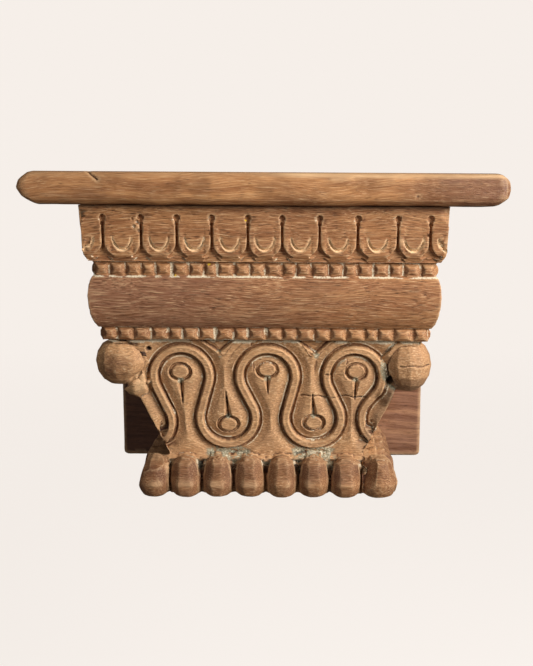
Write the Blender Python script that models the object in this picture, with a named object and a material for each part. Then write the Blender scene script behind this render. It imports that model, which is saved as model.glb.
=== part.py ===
"""Carved corbel shelf: a plank on a carved hardwood corbel block, with a board behind the block.

Metres, +Z up. The front faces -Y. The origin is the middle of the back board's back face, which lies on
the wall. Heights of the carving are measured up from the block's foot.
"""

import random
from math import acos, atan2, cos, pi, radians, sin

import bmesh
import bpy
from mathutils import Matrix, Vector

# Space left between two pieces that touch
JOINT_GAP = 0.0003

# Shelf plank, measured from the corbel under it
SHELF_THICKNESS = 0.030
SHELF_END_OVERHANG = 0.054
SHELF_FRONT_OVERHANG = 0.015
SHELF_EDGE_ROUND = 0.009
SHELF_EDGE_STEPS = 3

# Back board
BOARD_THICKNESS = 0.022
BOARD_SIDE_INSET = 0.0035
BOARD_CORNER_ROUND = 0.005
BOARD_CORNER_STEPS = 3

# Corbel block, over its frieze
CORBEL_WIDTH = 0.340
CORBEL_DEPTH = 0.163

# Heights of the corbel's courses, from its foot up
TOE_COURSE_HEIGHT = 0.0385
PANEL_HEIGHT = 0.1165
LOWER_BEAD_HEIGHT = 0.0125
TORUS_HEIGHT = 0.049
UPPER_BEAD_HEIGHT = 0.013
FRIEZE_HEIGHT = 0.0525

# How far each course stands in from the frieze's top edge, on the front and on both sides
FRIEZE_LEAN = 0.002
FRIEZE_CURL_INSET = 0.0095
FRIEZE_CURL_HEIGHT = 0.0105
UPPER_BEAD_INSET = 0.0105
TORUS_INSET = 0.005
TORUS_TOP_INSET = 0.009
TORUS_FOOT_INSET = 0.013
TORUS_BELLY_SHARE = 0.62
LOWER_BEAD_INSET = 0.016
PANEL_TOP_INSET = 0.020
PANEL_FOOT_FRONT_INSET = 0.033
PANEL_FOOT_SIDE_INSET = 0.0755
TOE_BLOCK_FRONT_INSET = 0.029
TOE_BLOCK_SIDE_INSET = 0.060
TOE_LEDGE_DROP = 0.003
MOULDING_STEPS = 4
MOULDING_ANGLE = radians(72)

# Rows of pyramid beads
BEAD_RISE = 0.005
UPPER_BEADS = 22
LOWER_BEADS = 20
BEAD_DRIFT_SHARE = 0.13
BEAD_SEED = 11

# Tongue frieze: upright tongues parted by keyhole grooves
TONGUE_COUNT = 9
CORNER_TONGUE_WIDTH = 0.0205
TONGUE_ROUND_HEIGHT = 0.0150
TONGUE_FOOT_MARGIN = 0.0035
TONGUE_GROOVE_WIDTH = 0.0034
TONGUE_GROOVE_DEPTH = 0.0055
TONGUE_HOLE_RADIUS = 0.0030
TONGUE_HOLE_DROP = 0.0115
TONGUE_ARC_STEPS = 4
TONGUE_ARC_ANGLE = radians(70)
TONGUE_HOLE_SIDES = 8
# Drift of each front groove from an even spacing, left to right, as the carver set them out
TONGUE_DRIFT = (0.0010, 0.0030, 0.0026, 0.0016, 0.0016, -0.0002, 0.0010, 0.0030, 0.0066, 0.0034)

# Crescent cut on each tongue
CRESCENT_HALF_WIDTH = 0.0090
CRESCENT_DROP = 0.0125
CRESCENT_TOP_DROP = 0.0285
CRESCENT_CUT_WIDTH = 0.0020
CRESCENT_CUT_DEPTH = 0.0013
CRESCENT_STEPS = 8
CORNER_CRESCENT_ANGLE = radians(60)

# Winding ribbon of the carved panels, as shares of the panel's half width and height
FRONT_BIGHT_SHARES = (-0.975, -0.665, -0.305, 0.014, 0.378, 0.700, 0.985)
SIDE_BIGHT_SHARES = (-0.64, 0.0, 0.64)
UPPER_BIGHT_SHARE = 0.685
LOWER_BIGHT_SHARE = 0.318
# Ribbon's radius as a share of the distance between neighbouring bights, and the least wood left
# between two bights at one level
BIGHT_RADIUS_SHARE = 0.49
BIGHT_CLEARANCE = 0.0008
RIBBON_WIDTH = 0.0084
CARVED_GROOVE_WIDTH = 0.0045
CARVED_GROOVE_DEPTH = 0.0040
BIGHT_STEPS = 12
RIBBON_END_ANGLE = radians(60)

# Bud, ring and slit of each drop between the ribbon's bights
BUD_RADIUS = 0.0080
BUD_RING_WIDTH = 0.0030
BUD_RING_DEPTH = 0.0028
BUD_SHIFT = 0.0052
BUD_STEPS = 14
SLIT_WIDTH = 0.0070
SLIT_LENGTH = 0.0250
SLIT_DEPTH = 0.0045

# Hollow between neighbouring stems at the panel's top
HOLLOW_WIDTH = 0.0215
HOLLOW_HEIGHT = 0.0150
HOLLOW_DEPTH = 0.0040
HOLLOW_MARGIN = 0.0010

# Row of toes round the foot
FRONT_TOES = 8
TOE_GAP = 0.0018
TOE_REACH = 0.0155
TOE_SIDES = 8
TOE_FOOT_HANG = 0.0015
# Outline of a toe, as shares of its half width and of its height
TOE_OUTLINE_SHARES = (
    (0.0, 0.0),
    (0.58, 0.0),
    (0.88, 0.09),
    (1.0, 0.32),
    (0.98, 0.60),
    (0.84, 0.82),
    (0.52, 0.96),
    (0.0, 1.0),
)

# Ball and small knob under each front corner; the carver made the left ball wide and the right one tall
LEFT_BALL_HALF_WIDTH = 0.0230
LEFT_BALL_HALF_HEIGHT = 0.0240
LEFT_BALL_SIDE_INSET = 0.0280
RIGHT_BALL_HALF_WIDTH = 0.0215
RIGHT_BALL_HALF_HEIGHT = 0.0265
RIGHT_BALL_SIDE_INSET = 0.0310
BALL_HALF_DEPTH = 0.0215
BALL_FRONT_INSET = 0.0335
BALL_BITE = 0.0010
KNOB_RADIUS = 0.0125
KNOB_SIDE_INSET = 0.0460
KNOB_FRONT_INSET = 0.0340
KNOB_DROP = 0.0430
BALL_SEGMENTS = 12
BALL_RINGS = 8
KNOB_SEGMENTS = 8
KNOB_RINGS = 6

# How far a cutter stands out of the face that it cuts
CUTTER_PROUD = 0.0005
CUTTER_OUTSIDE = 0.004

# Levels and planes that follow from the sizes above
PANEL_FOOT = TOE_COURSE_HEIGHT
PANEL_TOP = PANEL_FOOT + PANEL_HEIGHT
TORUS_FOOT = PANEL_TOP + LOWER_BEAD_HEIGHT
TORUS_TOP = TORUS_FOOT + TORUS_HEIGHT
FRIEZE_FOOT = TORUS_TOP + UPPER_BEAD_HEIGHT
CORBEL_HEIGHT = FRIEZE_FOOT + FRIEZE_HEIGHT
FOOT_Z = -CORBEL_HEIGHT / 2
CORBEL_BACK = -(BOARD_THICKNESS + JOINT_GAP)
CORBEL_FRONT = CORBEL_BACK - CORBEL_DEPTH
HALF_WIDTH = CORBEL_WIDTH / 2

WOOD_COLOURS = {
    "shelf_plank": (0.36, 0.20, 0.085),
    "corbel_block": (0.30, 0.155, 0.075),
    "back_board": (0.22, 0.115, 0.060),
}
WOOD_ROUGHNESS = 0.62


def clear_scene():
    """Removes what a new file holds."""
    for item in list(bpy.data.objects):
        bpy.data.objects.remove(item, do_unlink=True)


def wood(name):
    """Returns the oiled old hardwood of one piece."""
    material = bpy.data.materials.new(name)
    material.use_nodes = True
    shader = material.node_tree.nodes["Principled BSDF"]
    shader.inputs["Base Color"].default_value = (*WOOD_COLOURS[name], 1.0)
    shader.inputs["Roughness"].default_value = WOOD_ROUGHNESS
    shader.inputs["Metallic"].default_value = 0.0
    return material


def new_object(name, bm):
    """Makes an object from a bmesh, with its faces pointing outwards."""
    bmesh.ops.recalc_face_normals(bm, faces=bm.faces)
    mesh = bpy.data.meshes.new(name)
    bm.to_mesh(mesh)
    bm.free()
    item = bpy.data.objects.new(name, mesh)
    bpy.context.scene.collection.objects.link(item)
    return item


def new_piece(name, bm):
    """Makes one wooden piece of the shelf."""
    item = new_object(name, bm)
    item.data.materials.append(wood(name))
    return item


def carve(block, name, bm, operation):
    """Cuts a tool shape out of the block, or joins it on, with a Boolean modifier."""
    tool = new_object(name, bm)
    tool.hide_render = True
    tool.display_type = "WIRE"
    cut = block.modifiers.new(name, "BOOLEAN")
    cut.operation = operation
    cut.object = tool
    return tool


def box(low, high):
    """Returns a bmesh box between two corners."""
    bm = bmesh.new()
    bmesh.ops.create_cube(bm, size=1.0)
    low, high = Vector(low), Vector(high)
    bmesh.ops.scale(bm, vec=high - low, verts=bm.verts)
    bmesh.ops.translate(bm, vec=(low + high) / 2, verts=bm.verts)
    return bm


def round_edges(bm, edges, radius, steps):
    """Rounds the given edges."""
    bmesh.ops.bevel(bm, geom=edges, offset=radius, segments=steps, profile=0.5, affect="EDGES")


def build_shelf():
    """Plank over the block, with its front and end edges worn round and its back edge square."""
    half_length = HALF_WIDTH + SHELF_END_OVERHANG
    front = CORBEL_FRONT - SHELF_FRONT_OVERHANG
    foot = FOOT_Z + CORBEL_HEIGHT + JOINT_GAP
    bm = box((-half_length, front, foot), (half_length, 0.0, foot + SHELF_THICKNESS))
    worn = [e for e in bm.edges if not all(v.co.y > front / 2 for v in e.verts)]
    round_edges(bm, worn, SHELF_EDGE_ROUND, SHELF_EDGE_STEPS)
    return new_piece("shelf_plank", bm)


def build_back_board():
    """Board between the block and the wall, with its two lower corners rounded."""
    half_width = HALF_WIDTH - BOARD_SIDE_INSET
    bm = box((-half_width, -BOARD_THICKNESS, FOOT_Z), (half_width, 0.0, FOOT_Z + CORBEL_HEIGHT))
    lower = [e for e in bm.edges if all(v.co.z < 0 for v in e.verts) and e.verts[0].co.x == e.verts[1].co.x]
    round_edges(bm, lower, BOARD_CORNER_ROUND, BOARD_CORNER_STEPS)
    return new_piece("back_board", bm)


def rounded_profile(start, end, steps):
    """Points (height, inset) of a convex round from its fullest point to its end, the end included."""
    rise, drop = end[0] - start[0], end[1] - start[1]
    turns = [MOULDING_ANGLE * step / steps for step in range(1, steps + 1)]
    return [
        (start[0] + rise * sin(t) / sin(MOULDING_ANGLE), start[1] + drop * (1 - cos(t)) / (1 - cos(MOULDING_ANGLE)))
        for t in turns
    ]


def moulding_profile():
    """Points (height, inset) of the mouldings from the lower beads' foot to the frieze's top."""
    belly = (TORUS_FOOT + TORUS_HEIGHT * TORUS_BELLY_SHARE, TORUS_INSET)
    curl = (FRIEZE_FOOT + FRIEZE_CURL_HEIGHT, FRIEZE_LEAN)
    lower_round = rounded_profile(belly, (TORUS_FOOT, TORUS_FOOT_INSET), MOULDING_STEPS)
    upper_round = rounded_profile(belly, (TORUS_TOP, TORUS_TOP_INSET), MOULDING_STEPS)
    frieze_round = rounded_profile(curl, (FRIEZE_FOOT, FRIEZE_CURL_INSET), MOULDING_STEPS)
    return [
        (PANEL_TOP, LOWER_BEAD_INSET),
        (TORUS_FOOT, LOWER_BEAD_INSET),
        *reversed(lower_round),
        belly,
        *upper_round,
        (TORUS_TOP, UPPER_BEAD_INSET),
        (FRIEZE_FOOT, UPPER_BEAD_INSET),
        *reversed(frieze_round),
        curl,
        (CORBEL_HEIGHT, 0.0),
    ]


def block_levels():
    """Height, side inset and front inset of the block at each arris, from its foot up."""
    ledge = PANEL_FOOT - TOE_LEDGE_DROP
    foot = [
        (TOE_FOOT_HANG, TOE_BLOCK_SIDE_INSET, TOE_BLOCK_FRONT_INSET),
        (ledge, TOE_BLOCK_SIDE_INSET, TOE_BLOCK_FRONT_INSET),
        (PANEL_FOOT, PANEL_FOOT_SIDE_INSET, PANEL_FOOT_FRONT_INSET),
        (PANEL_TOP, PANEL_TOP_INSET, PANEL_TOP_INSET),
    ]
    return foot + [(height, inset, inset) for height, inset in moulding_profile()]


def stacked_block():
    """Block without its carving: one rectangle for each level, joined up its sides."""
    bm = bmesh.new()
    rings = []
    for height, side_inset, front_inset in block_levels():
        x, front, z = HALF_WIDTH - side_inset, CORBEL_FRONT + front_inset, FOOT_Z + height
        corners = [(-x, CORBEL_BACK, z), (-x, front, z), (x, front, z), (x, CORBEL_BACK, z)]
        rings.append([bm.verts.new(corner) for corner in corners])
    for lower, upper in zip(rings, rings[1:]):
        for i in range(3):
            bm.faces.new((lower[i], lower[i + 1], upper[i + 1], upper[i]))
    bm.faces.new([ring[0] for ring in rings] + [ring[3] for ring in reversed(rings)])
    bm.faces.new(list(reversed(rings[0])))
    bm.faces.new(rings[-1])
    return bm


def bead_faces(bm, low, high):
    """Faces of one bead course, without its back."""
    faces = []
    for face in bm.faces:
        heights = [v.co.z - FOOT_Z for v in face.verts]
        in_course = min(heights) > low - JOINT_GAP and max(heights) < high + JOINT_GAP
        upright = max(heights) - min(heights) > (high - low) / 2
        if in_course and upright and face.calc_center_median().y < CORBEL_BACK - JOINT_GAP:
            faces.append(face)
    return faces


def uneven_cuts(low, high, count, source):
    """Places that part a length into cells, each a little off an even spacing."""
    cell = (high - low) / count
    return [low + cell * (i + source.uniform(-BEAD_DRIFT_SHARE, BEAD_DRIFT_SHARE)) for i in range(1, count)]


def carve_beads(bm, low, high, inset, count):
    """Parts one course into cells along its front and sides, and raises a pyramid on each."""
    source = random.Random(BEAD_SEED + count)
    half, front = HALF_WIDTH - inset, CORBEL_FRONT + inset
    cell = 2 * half / count
    side_count = max(1, round((CORBEL_BACK - front) / cell))
    cuts = [(Vector((1, 0, 0)), place) for place in uneven_cuts(-half, half, count, source)]
    cuts += [(Vector((0, 1, 0)), place) for place in uneven_cuts(front, CORBEL_BACK, side_count, source)]
    for axis, place in cuts:
        faces = bead_faces(bm, low, high)
        edges = {e for f in faces for e in f.edges}
        verts = {v for f in faces for v in f.verts}
        bmesh.ops.bisect_plane(bm, geom=[*faces, *edges, *verts], plane_co=axis * place, plane_no=axis)
    bmesh.ops.poke(bm, faces=bead_faces(bm, low, high), offset=BEAD_RISE, center_mode="MEAN")


def face_frame(foot, up):
    """Matrix of a carved face: local X runs along it, Y up it and Z out of it."""
    up = Vector(up).normalized()
    along = Vector((0, 0, 1)).cross(Vector((up.x, up.y, 0)))
    along = along.normalized() if along.length > 0 else Vector((1, 0, 0))
    out = along.cross(up)
    return Matrix.Translation(foot) @ Matrix((along, up, out)).transposed().to_4x4()


def front_frame(height, inset, top_height, top_inset):
    """Frame of a front face that runs from one height and inset to another."""
    foot = Vector((0, CORBEL_FRONT + inset, FOOT_Z + height))
    return face_frame(foot, (0, inset_change(inset, top_inset), top_height - height))


def side_frame(height, inset, top_height, top_inset, middle):
    """Frame of a right side face, with its origin at the depth given."""
    foot = Vector((HALF_WIDTH - inset, middle, FOOT_Z + height))
    return face_frame(foot, (-inset_change(inset, top_inset), 0, top_height - height))


def inset_change(inset, top_inset):
    """How far a face moves back as it rises; the least possible amount keeps its frame defined."""
    change = top_inset - inset
    return change if abs(change) > 1e-9 else -1e-9


def prism(bm, outline, frame, depth, proud):
    """Adds a straight cutter with the outline given, sunk into the face by depth."""
    verts = [bm.verts.new(frame @ Vector((x, y, proud))) for x, y in outline]
    face = bm.faces.new(verts)
    sunk = bmesh.ops.extrude_face_region(bm, geom=[face])["geom"]
    moved = [v for v in sunk if isinstance(v, bmesh.types.BMVert)]
    inwards = frame.to_3x3() @ Vector((0, 0, -(depth + proud)))
    bmesh.ops.translate(bm, vec=inwards, verts=moved)


def v_groove(bm, path, frame, width, depth, closed=False):
    """Adds a cutter of triangular section along a path on a face."""
    spread = width / 2 * (depth + CUTTER_PROUD) / depth
    count = len(path)
    sections = []
    for i, (x, y) in enumerate(path):
        before = path[i - 1] if closed or i > 0 else path[i]
        after = path[(i + 1) % count] if closed or i < count - 1 else path[i]
        along = Vector((after[0] - before[0], after[1] - before[1], 0)).normalized()
        across = Vector((-along.y, along.x, 0)) * spread
        middle = Vector((x, y, CUTTER_PROUD))
        points = (middle + across, middle - across, Vector((x, y, -depth)))
        sections.append([bm.verts.new(frame @ point) for point in points])
    pairs = zip(sections, sections[1:] + sections[:1]) if closed else zip(sections, sections[1:])
    for one, two in pairs:
        for i in range(3):
            j = (i + 1) % 3
            bm.faces.new((one[i], one[j], two[j], two[i]))
    if not closed:
        bm.faces.new(sections[0])
        bm.faces.new(list(reversed(sections[-1])))


def mirror_to_left(bm):
    """Adds the left side's copy of every right side cutter."""
    copy = bmesh.ops.duplicate(bm, geom=[*bm.verts, *bm.edges, *bm.faces])["geom"]
    verts = [item for item in copy if isinstance(item, bmesh.types.BMVert)]
    bmesh.ops.scale(bm, vec=(-1, 1, 1), verts=verts)


def join_into(bm, other):
    """Moves the shapes of one bmesh into another."""
    mesh = bpy.data.meshes.new("cutter")
    other.to_mesh(mesh)
    other.free()
    bm.from_mesh(mesh)
    bpy.data.meshes.remove(mesh)


def tongue_pitch():
    """Even spacing of the tongue grooves."""
    return (CORBEL_WIDTH - 2 * CORNER_TONGUE_WIDTH) / TONGUE_COUNT


def front_tongue_grooves():
    """Places of the grooves along the front, with the two corners at the ends of the list."""
    pitch = tongue_pitch()
    first = -HALF_WIDTH + CORNER_TONGUE_WIDTH
    drifts = [TONGUE_DRIFT[i % len(TONGUE_DRIFT)] for i in range(TONGUE_COUNT + 1)]
    grooves = [first + i * pitch + drift for i, drift in enumerate(drifts)]
    return [-HALF_WIDTH, *grooves, HALF_WIDTH]


def side_tongue_grooves():
    """Places of the grooves along a side, measured back from the front corner, with that corner first."""
    pitch = tongue_pitch()
    count = int((CORBEL_DEPTH - CORNER_TONGUE_WIDTH - TONGUE_GROOVE_WIDTH) / pitch) + 1
    grooves = [CORNER_TONGUE_WIDTH + i * pitch for i in range(count)]
    return [0.0, *grooves, grooves[-1] + pitch]


def tongue_reach(low, high, corner):
    """Middle of a tongue between two grooves, and half its width; a corner tongue is centred on the corner."""
    if corner is None:
        return (low + high) / 2, (high - low - TONGUE_GROOVE_WIDTH) / 2
    return corner, high - low - TONGUE_GROOVE_WIDTH / 2


def keyhole_groove(bm, frame, place, left, right):
    """Adds one groove cutter: a round hole, a slot, and a foot that follows the tongues on both sides."""
    top = FRIEZE_HEIGHT - TONGUE_HOLE_DROP
    spring = TONGUE_FOOT_MARGIN + TONGUE_ROUND_HEIGHT
    slot = TONGUE_GROOVE_WIDTH / 2
    open_angle = acos(min(1.0, slot / TONGUE_HOLE_RADIUS)) + pi / 2
    outline = []
    for i in range(TONGUE_HOLE_SIDES):
        turn = open_angle * (1 - 2 * i / (TONGUE_HOLE_SIDES - 1))
        outline.append((place + TONGUE_HOLE_RADIUS * sin(turn), top + TONGUE_HOLE_RADIUS * cos(turn)))
    for side, (middle, reach) in ((1, left), (-1, right)):
        turns = [TONGUE_ARC_ANGLE * i / TONGUE_ARC_STEPS for i in range(TONGUE_ARC_STEPS + 1)]
        arc = [(middle + side * reach * cos(t), spring - TONGUE_ROUND_HEIGHT * sin(t)) for t in turns]
        outline += arc if side == 1 else list(reversed(arc))
    prism(bm, outline, frame, TONGUE_GROOVE_DEPTH, CUTTER_OUTSIDE)


def frieze_frames():
    """Frames of the frieze's front and right side faces, with Y measured up from the frieze's foot."""
    span = FRIEZE_HEIGHT - FRIEZE_CURL_HEIGHT
    foot_inset = FRIEZE_LEAN * FRIEZE_HEIGHT / span
    front = front_frame(FRIEZE_FOOT, foot_inset, CORBEL_HEIGHT, 0.0)
    side = side_frame(FRIEZE_FOOT, foot_inset, CORBEL_HEIGHT, 0.0, CORBEL_FRONT)
    return front, side


def frieze_rows():
    """Frame, groove places and far corner of the frieze's front and right side."""
    front, side = frieze_frames()
    return (front, front_tongue_grooves(), True), (side, side_tongue_grooves(), False)


def tongues_of(places, both_corners):
    """Middle and half width of every tongue along a row of grooves."""
    spans = list(zip(places, places[1:]))
    tongues = []
    for i, (low, high) in enumerate(spans):
        at_far_corner = both_corners and i == len(spans) - 1
        corner = low if i == 0 else high if at_far_corner else None
        tongues.append(tongue_reach(low, high, corner))
    return tongues


def tongue_groove_cutters():
    """Keyhole grooves of the frieze's front and both sides."""
    rows = []
    for frame, places, both_corners in frieze_rows():
        bm = bmesh.new()
        tongues = tongues_of(places, both_corners)
        for place, left, right in zip(places[1:-1], tongues, tongues[1:]):
            keyhole_groove(bm, frame, place, left, right)
        rows.append(bm)
    front, side = rows
    mirror_to_left(side)
    join_into(front, side)
    return front


def crescent(middle, start, end):
    """Path of one crescent cut, between two turns of a half ellipse."""
    top = FRIEZE_HEIGHT - CRESCENT_TOP_DROP
    turns = [start + (end - start) * i / CRESCENT_STEPS for i in range(CRESCENT_STEPS + 1)]
    return [(middle + CRESCENT_HALF_WIDTH * cos(t), top - CRESCENT_DROP * sin(t)) for t in turns]


def crescent_cutters():
    """Crescents on the tongues, whole ones and the parts that show at the corners."""
    rows = []
    for frame, places, both_corners in frieze_rows():
        bm = bmesh.new()
        tongues = tongues_of(places, both_corners)
        whole = tongues[1:-1]
        for middle, _ in whole:
            v_groove(bm, crescent(middle, 0.0, pi), frame, CRESCENT_CUT_WIDTH, CRESCENT_CUT_DEPTH)
        corner_path = crescent(tongues[0][0], 0.0, CORNER_CRESCENT_ANGLE)
        v_groove(bm, corner_path, frame, CRESCENT_CUT_WIDTH, CRESCENT_CUT_DEPTH)
        if both_corners:
            far_path = crescent(tongues[-1][0], pi - CORNER_CRESCENT_ANGLE, pi)
            v_groove(bm, far_path, frame, CRESCENT_CUT_WIDTH, CRESCENT_CUT_DEPTH)
        rows.append(bm)
    front, side = rows
    mirror_to_left(side)
    join_into(front, side)
    return front


def panel_frames():
    """Frame and half width at mid height of the front panel and of the right side panel."""
    middle = (CORBEL_BACK + CORBEL_FRONT + PANEL_FOOT_FRONT_INSET) / 2
    front = front_frame(PANEL_FOOT, PANEL_FOOT_FRONT_INSET, PANEL_TOP, PANEL_TOP_INSET)
    side = side_frame(PANEL_FOOT, PANEL_FOOT_SIDE_INSET, PANEL_TOP, PANEL_TOP_INSET, middle)
    front_half = HALF_WIDTH - (PANEL_FOOT_SIDE_INSET + PANEL_TOP_INSET) / 2
    side_half = (CORBEL_DEPTH - PANEL_FOOT_FRONT_INSET) / 2
    return (front, front_half, FRONT_BIGHT_SHARES), (side, side_half, SIDE_BIGHT_SHARES)


def bight_centres(half_width, shares):
    """Centres of the ribbon's bights: low, high, low and so on, from left to right."""
    heights = (LOWER_BIGHT_SHARE * PANEL_HEIGHT, UPPER_BIGHT_SHARE * PANEL_HEIGHT)
    return [Vector((share * half_width, heights[i % 2])) for i, share in enumerate(shares)]


def bight_radius():
    """Radius of the ribbon's middle line, as wide as the nearest bights of both panels allow."""
    outside = RIBBON_WIDTH / 2 + CARVED_GROOVE_WIDTH + BIGHT_CLEARANCE
    limits = []
    for _, half_width, shares in panel_frames():
        centres = bight_centres(half_width, shares)
        limits += [BIGHT_RADIUS_SHARE * (two - one).length for one, two in zip(centres, centres[1:])]
        limits += [(two - one).length / 2 - outside for one, two in zip(centres, centres[2:])]
    return min(limits)


def ribbon_path(centres, radius, offset):
    """Points of a line beside the ribbon's middle line, offset to the left of the way it runs."""
    leaving = []
    for i, (one, two) in enumerate(zip(centres, centres[1:])):
        span = two - one
        swing = acos(2 * radius / span.length)
        leaving.append(atan2(span.y, span.x) + (swing if i % 2 else -swing))
    points = []
    for i, centre in enumerate(centres):
        high = bool(i % 2)
        start = -RIBBON_END_ANGLE if i == 0 else leaving[i - 1] + (-pi if high else pi)
        end = pi + RIBBON_END_ANGLE if i == len(centres) - 1 else leaving[i]
        if high:
            start += 2 * pi
        elif end < start:
            end += 2 * pi
        reach = radius + offset if high else radius - offset
        steps = BIGHT_STEPS if 0 < i < len(centres) - 1 else BIGHT_STEPS // 2
        for step in range(steps + 1):
            turn = start + (end - start) * step / steps
            points.append((centre.x + reach * cos(turn), centre.y + reach * sin(turn)))
    return points


def panel_cutters():
    """Four tools for the panels: ribbon grooves, bud rings, slits and the hollows at the top."""
    tools = [bmesh.new() for _ in range(4)]
    radius = bight_radius()
    beside = (RIBBON_WIDTH + CARVED_GROOVE_WIDTH) / 2
    for side, (frame, half_width, shares) in enumerate(panel_frames()):
        parts = [bmesh.new() for _ in range(4)]
        centres = bight_centres(half_width, shares)
        for offset in (-beside, beside):
            path = ribbon_path(centres, radius, offset)
            v_groove(parts[0], path, frame, CARVED_GROOVE_WIDTH, CARVED_GROOVE_DEPTH)
        for i, centre in enumerate(centres[1:-1], start=1):
            away = 1 if i % 2 else -1
            bud = centre + Vector((0, away * BUD_SHIFT))
            carve_bud(parts[1], parts[2], frame, bud, away)
        for one, two in zip(centres[1:-1:2], centres[3:-1:2]):
            carve_hollow(parts[3], frame, (one.x + two.x) / 2)
        for tool, part in zip(tools, parts):
            if side:
                mirror_to_left(part)
            join_into(tool, part)
    return tools


def carve_bud(rings, slits, frame, bud, away):
    """Adds the ring round one bud and the slit on its stem side."""
    reach = BUD_RADIUS + BUD_RING_WIDTH / 2
    turns = [2 * pi * i / BUD_STEPS for i in range(BUD_STEPS)]
    ring = [(bud.x + reach * cos(t), bud.y + reach * sin(t)) for t in turns]
    v_groove(rings, ring, frame, BUD_RING_WIDTH, BUD_RING_DEPTH, closed=True)
    wide = bud.y - away * reach
    fine = wide - away * SLIT_LENGTH
    corners = [
        (bud.x - SLIT_WIDTH / 2, wide, CUTTER_PROUD),
        (bud.x + SLIT_WIDTH / 2, wide, CUTTER_PROUD),
        (bud.x, fine, CUTTER_PROUD),
        (bud.x, wide, -SLIT_DEPTH),
    ]
    verts = [slits.verts.new(frame @ Vector(corner)) for corner in corners]
    bmesh.ops.convex_hull(slits, input=verts)


def carve_hollow(bm, frame, middle):
    """Adds the three-cornered hollow between two stems at the panel's top."""
    top = PANEL_HEIGHT - HOLLOW_MARGIN
    outline = [
        (middle - HOLLOW_WIDTH / 2, top),
        (middle, top - HOLLOW_HEIGHT),
        (middle + HOLLOW_WIDTH / 2, top),
    ]
    prism(bm, outline, frame, HOLLOW_DEPTH, CUTTER_PROUD)


def turned(profile, sides):
    """Returns a turned solid from points (radius, height), with flats facing along X and Y."""
    bm = bmesh.new()
    start = Matrix.Rotation(pi / sides, 3, "Z")
    verts = [bm.verts.new(start @ Vector((radius, 0, height))) for radius, height in profile]
    edges = [bm.edges.new(pair) for pair in zip(verts, verts[1:])]
    bmesh.ops.spin(
        bm, geom=[*verts, *edges], cent=(0, 0, 0), axis=(0, 0, 1), angle=2 * pi, steps=sides, use_merge=True
    )
    bmesh.ops.remove_doubles(bm, verts=bm.verts, dist=1e-6)
    return bm


def toe_profile():
    """Points (radius, height) of a toe of radius 1: a flat foot, a full lower half and a round top."""
    height = TOE_COURSE_HEIGHT + TOE_FOOT_HANG
    return [(radius, share * height) for radius, share in TOE_OUTLINE_SHARES]


def spaced_toes(low, high, count):
    """Centres of the toes that fill a stretch with a gap before, between and after them, and their half size."""
    pitch = (high - low - TOE_GAP) / count
    half = (pitch - TOE_GAP) / 2
    return [low + TOE_GAP + half + i * pitch for i in range(count)], half


def toes():
    """Row of toes across the front, round both corners and back along the sides."""
    side = HALF_WIDTH - TOE_BLOCK_SIDE_INSET
    front = CORBEL_FRONT + TOE_BLOCK_FRONT_INSET
    across, half_width = spaced_toes(TOE_REACH - side, side - TOE_REACH, FRONT_TOES - 2)
    depth = CORBEL_BACK - front - TOE_REACH
    along, half_depth = spaced_toes(front + TOE_REACH, CORBEL_BACK, round(depth / (2 * half_width + TOE_GAP)))
    toe_places = [(x, front, half_width, TOE_REACH) for x in across]
    for x in (-side, side):
        toe_places.append((x, front, TOE_REACH, TOE_REACH))
        toe_places += [(x, y, TOE_REACH, half_depth) for y in along]
    bm = bmesh.new()
    for x, y, reach_x, reach_y in toe_places:
        toe = turned(toe_profile(), TOE_SIDES)
        bmesh.ops.scale(toe, vec=(reach_x, reach_y, 1), verts=toe.verts)
        bmesh.ops.translate(toe, vec=(x, y, FOOT_Z), verts=toe.verts)
        join_into(bm, toe)
    return bm


def add_egg(bm, sizes, side, side_inset, front_inset, height, segments, rings):
    """Adds one egg shape under the left (-1) or right (1) front corner of the block."""
    egg = bmesh.new()
    bmesh.ops.create_uvsphere(egg, u_segments=segments, v_segments=rings, radius=1.0)
    bmesh.ops.scale(egg, vec=sizes, verts=egg.verts)
    place = (side * (HALF_WIDTH - side_inset), CORBEL_FRONT + front_inset, FOOT_Z + height)
    bmesh.ops.translate(egg, vec=place, verts=egg.verts)
    join_into(bm, egg)


def corner_balls():
    """The two balls, each just under the lower beads."""
    bm = bmesh.new()
    for side, half_width, half_height, side_inset in (
        (-1, LEFT_BALL_HALF_WIDTH, LEFT_BALL_HALF_HEIGHT, LEFT_BALL_SIDE_INSET),
        (1, RIGHT_BALL_HALF_WIDTH, RIGHT_BALL_HALF_HEIGHT, RIGHT_BALL_SIDE_INSET),
    ):
        sizes = (half_width, BALL_HALF_DEPTH, half_height)
        height = PANEL_TOP + BALL_BITE - half_height
        add_egg(bm, sizes, side, side_inset, BALL_FRONT_INSET, height, BALL_SEGMENTS, BALL_RINGS)
    return bm


def corner_knobs():
    """The two small knobs below and behind the balls."""
    bm = bmesh.new()
    height = PANEL_TOP - KNOB_DROP
    for side in (-1, 1):
        sizes = (KNOB_RADIUS,) * 3
        add_egg(bm, sizes, side, KNOB_SIDE_INSET, KNOB_FRONT_INSET, height, KNOB_SEGMENTS, KNOB_RINGS)
    return bm


def build_corbel():
    """Carved block: mouldings and beads, then the cuts, then the toes, balls and knobs."""
    bm = stacked_block()
    carve_beads(bm, TORUS_TOP, FRIEZE_FOOT, UPPER_BEAD_INSET, UPPER_BEADS)
    carve_beads(bm, PANEL_TOP, TORUS_FOOT, LOWER_BEAD_INSET, LOWER_BEADS)
    block = new_piece("corbel_block", bm)

    carve(block, "tongue_grooves", tongue_groove_cutters(), "DIFFERENCE")
    carve(block, "crescents", crescent_cutters(), "DIFFERENCE")
    for name, tool in zip(("ribbon_grooves", "bud_rings", "slits", "hollows"), panel_cutters()):
        carve(block, name, tool, "DIFFERENCE")

    for name, shapes in (("knobs", corner_knobs()), ("balls", corner_balls()), ("toes", toes())):
        carve(block, name, shapes, "UNION")
    return block


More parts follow.
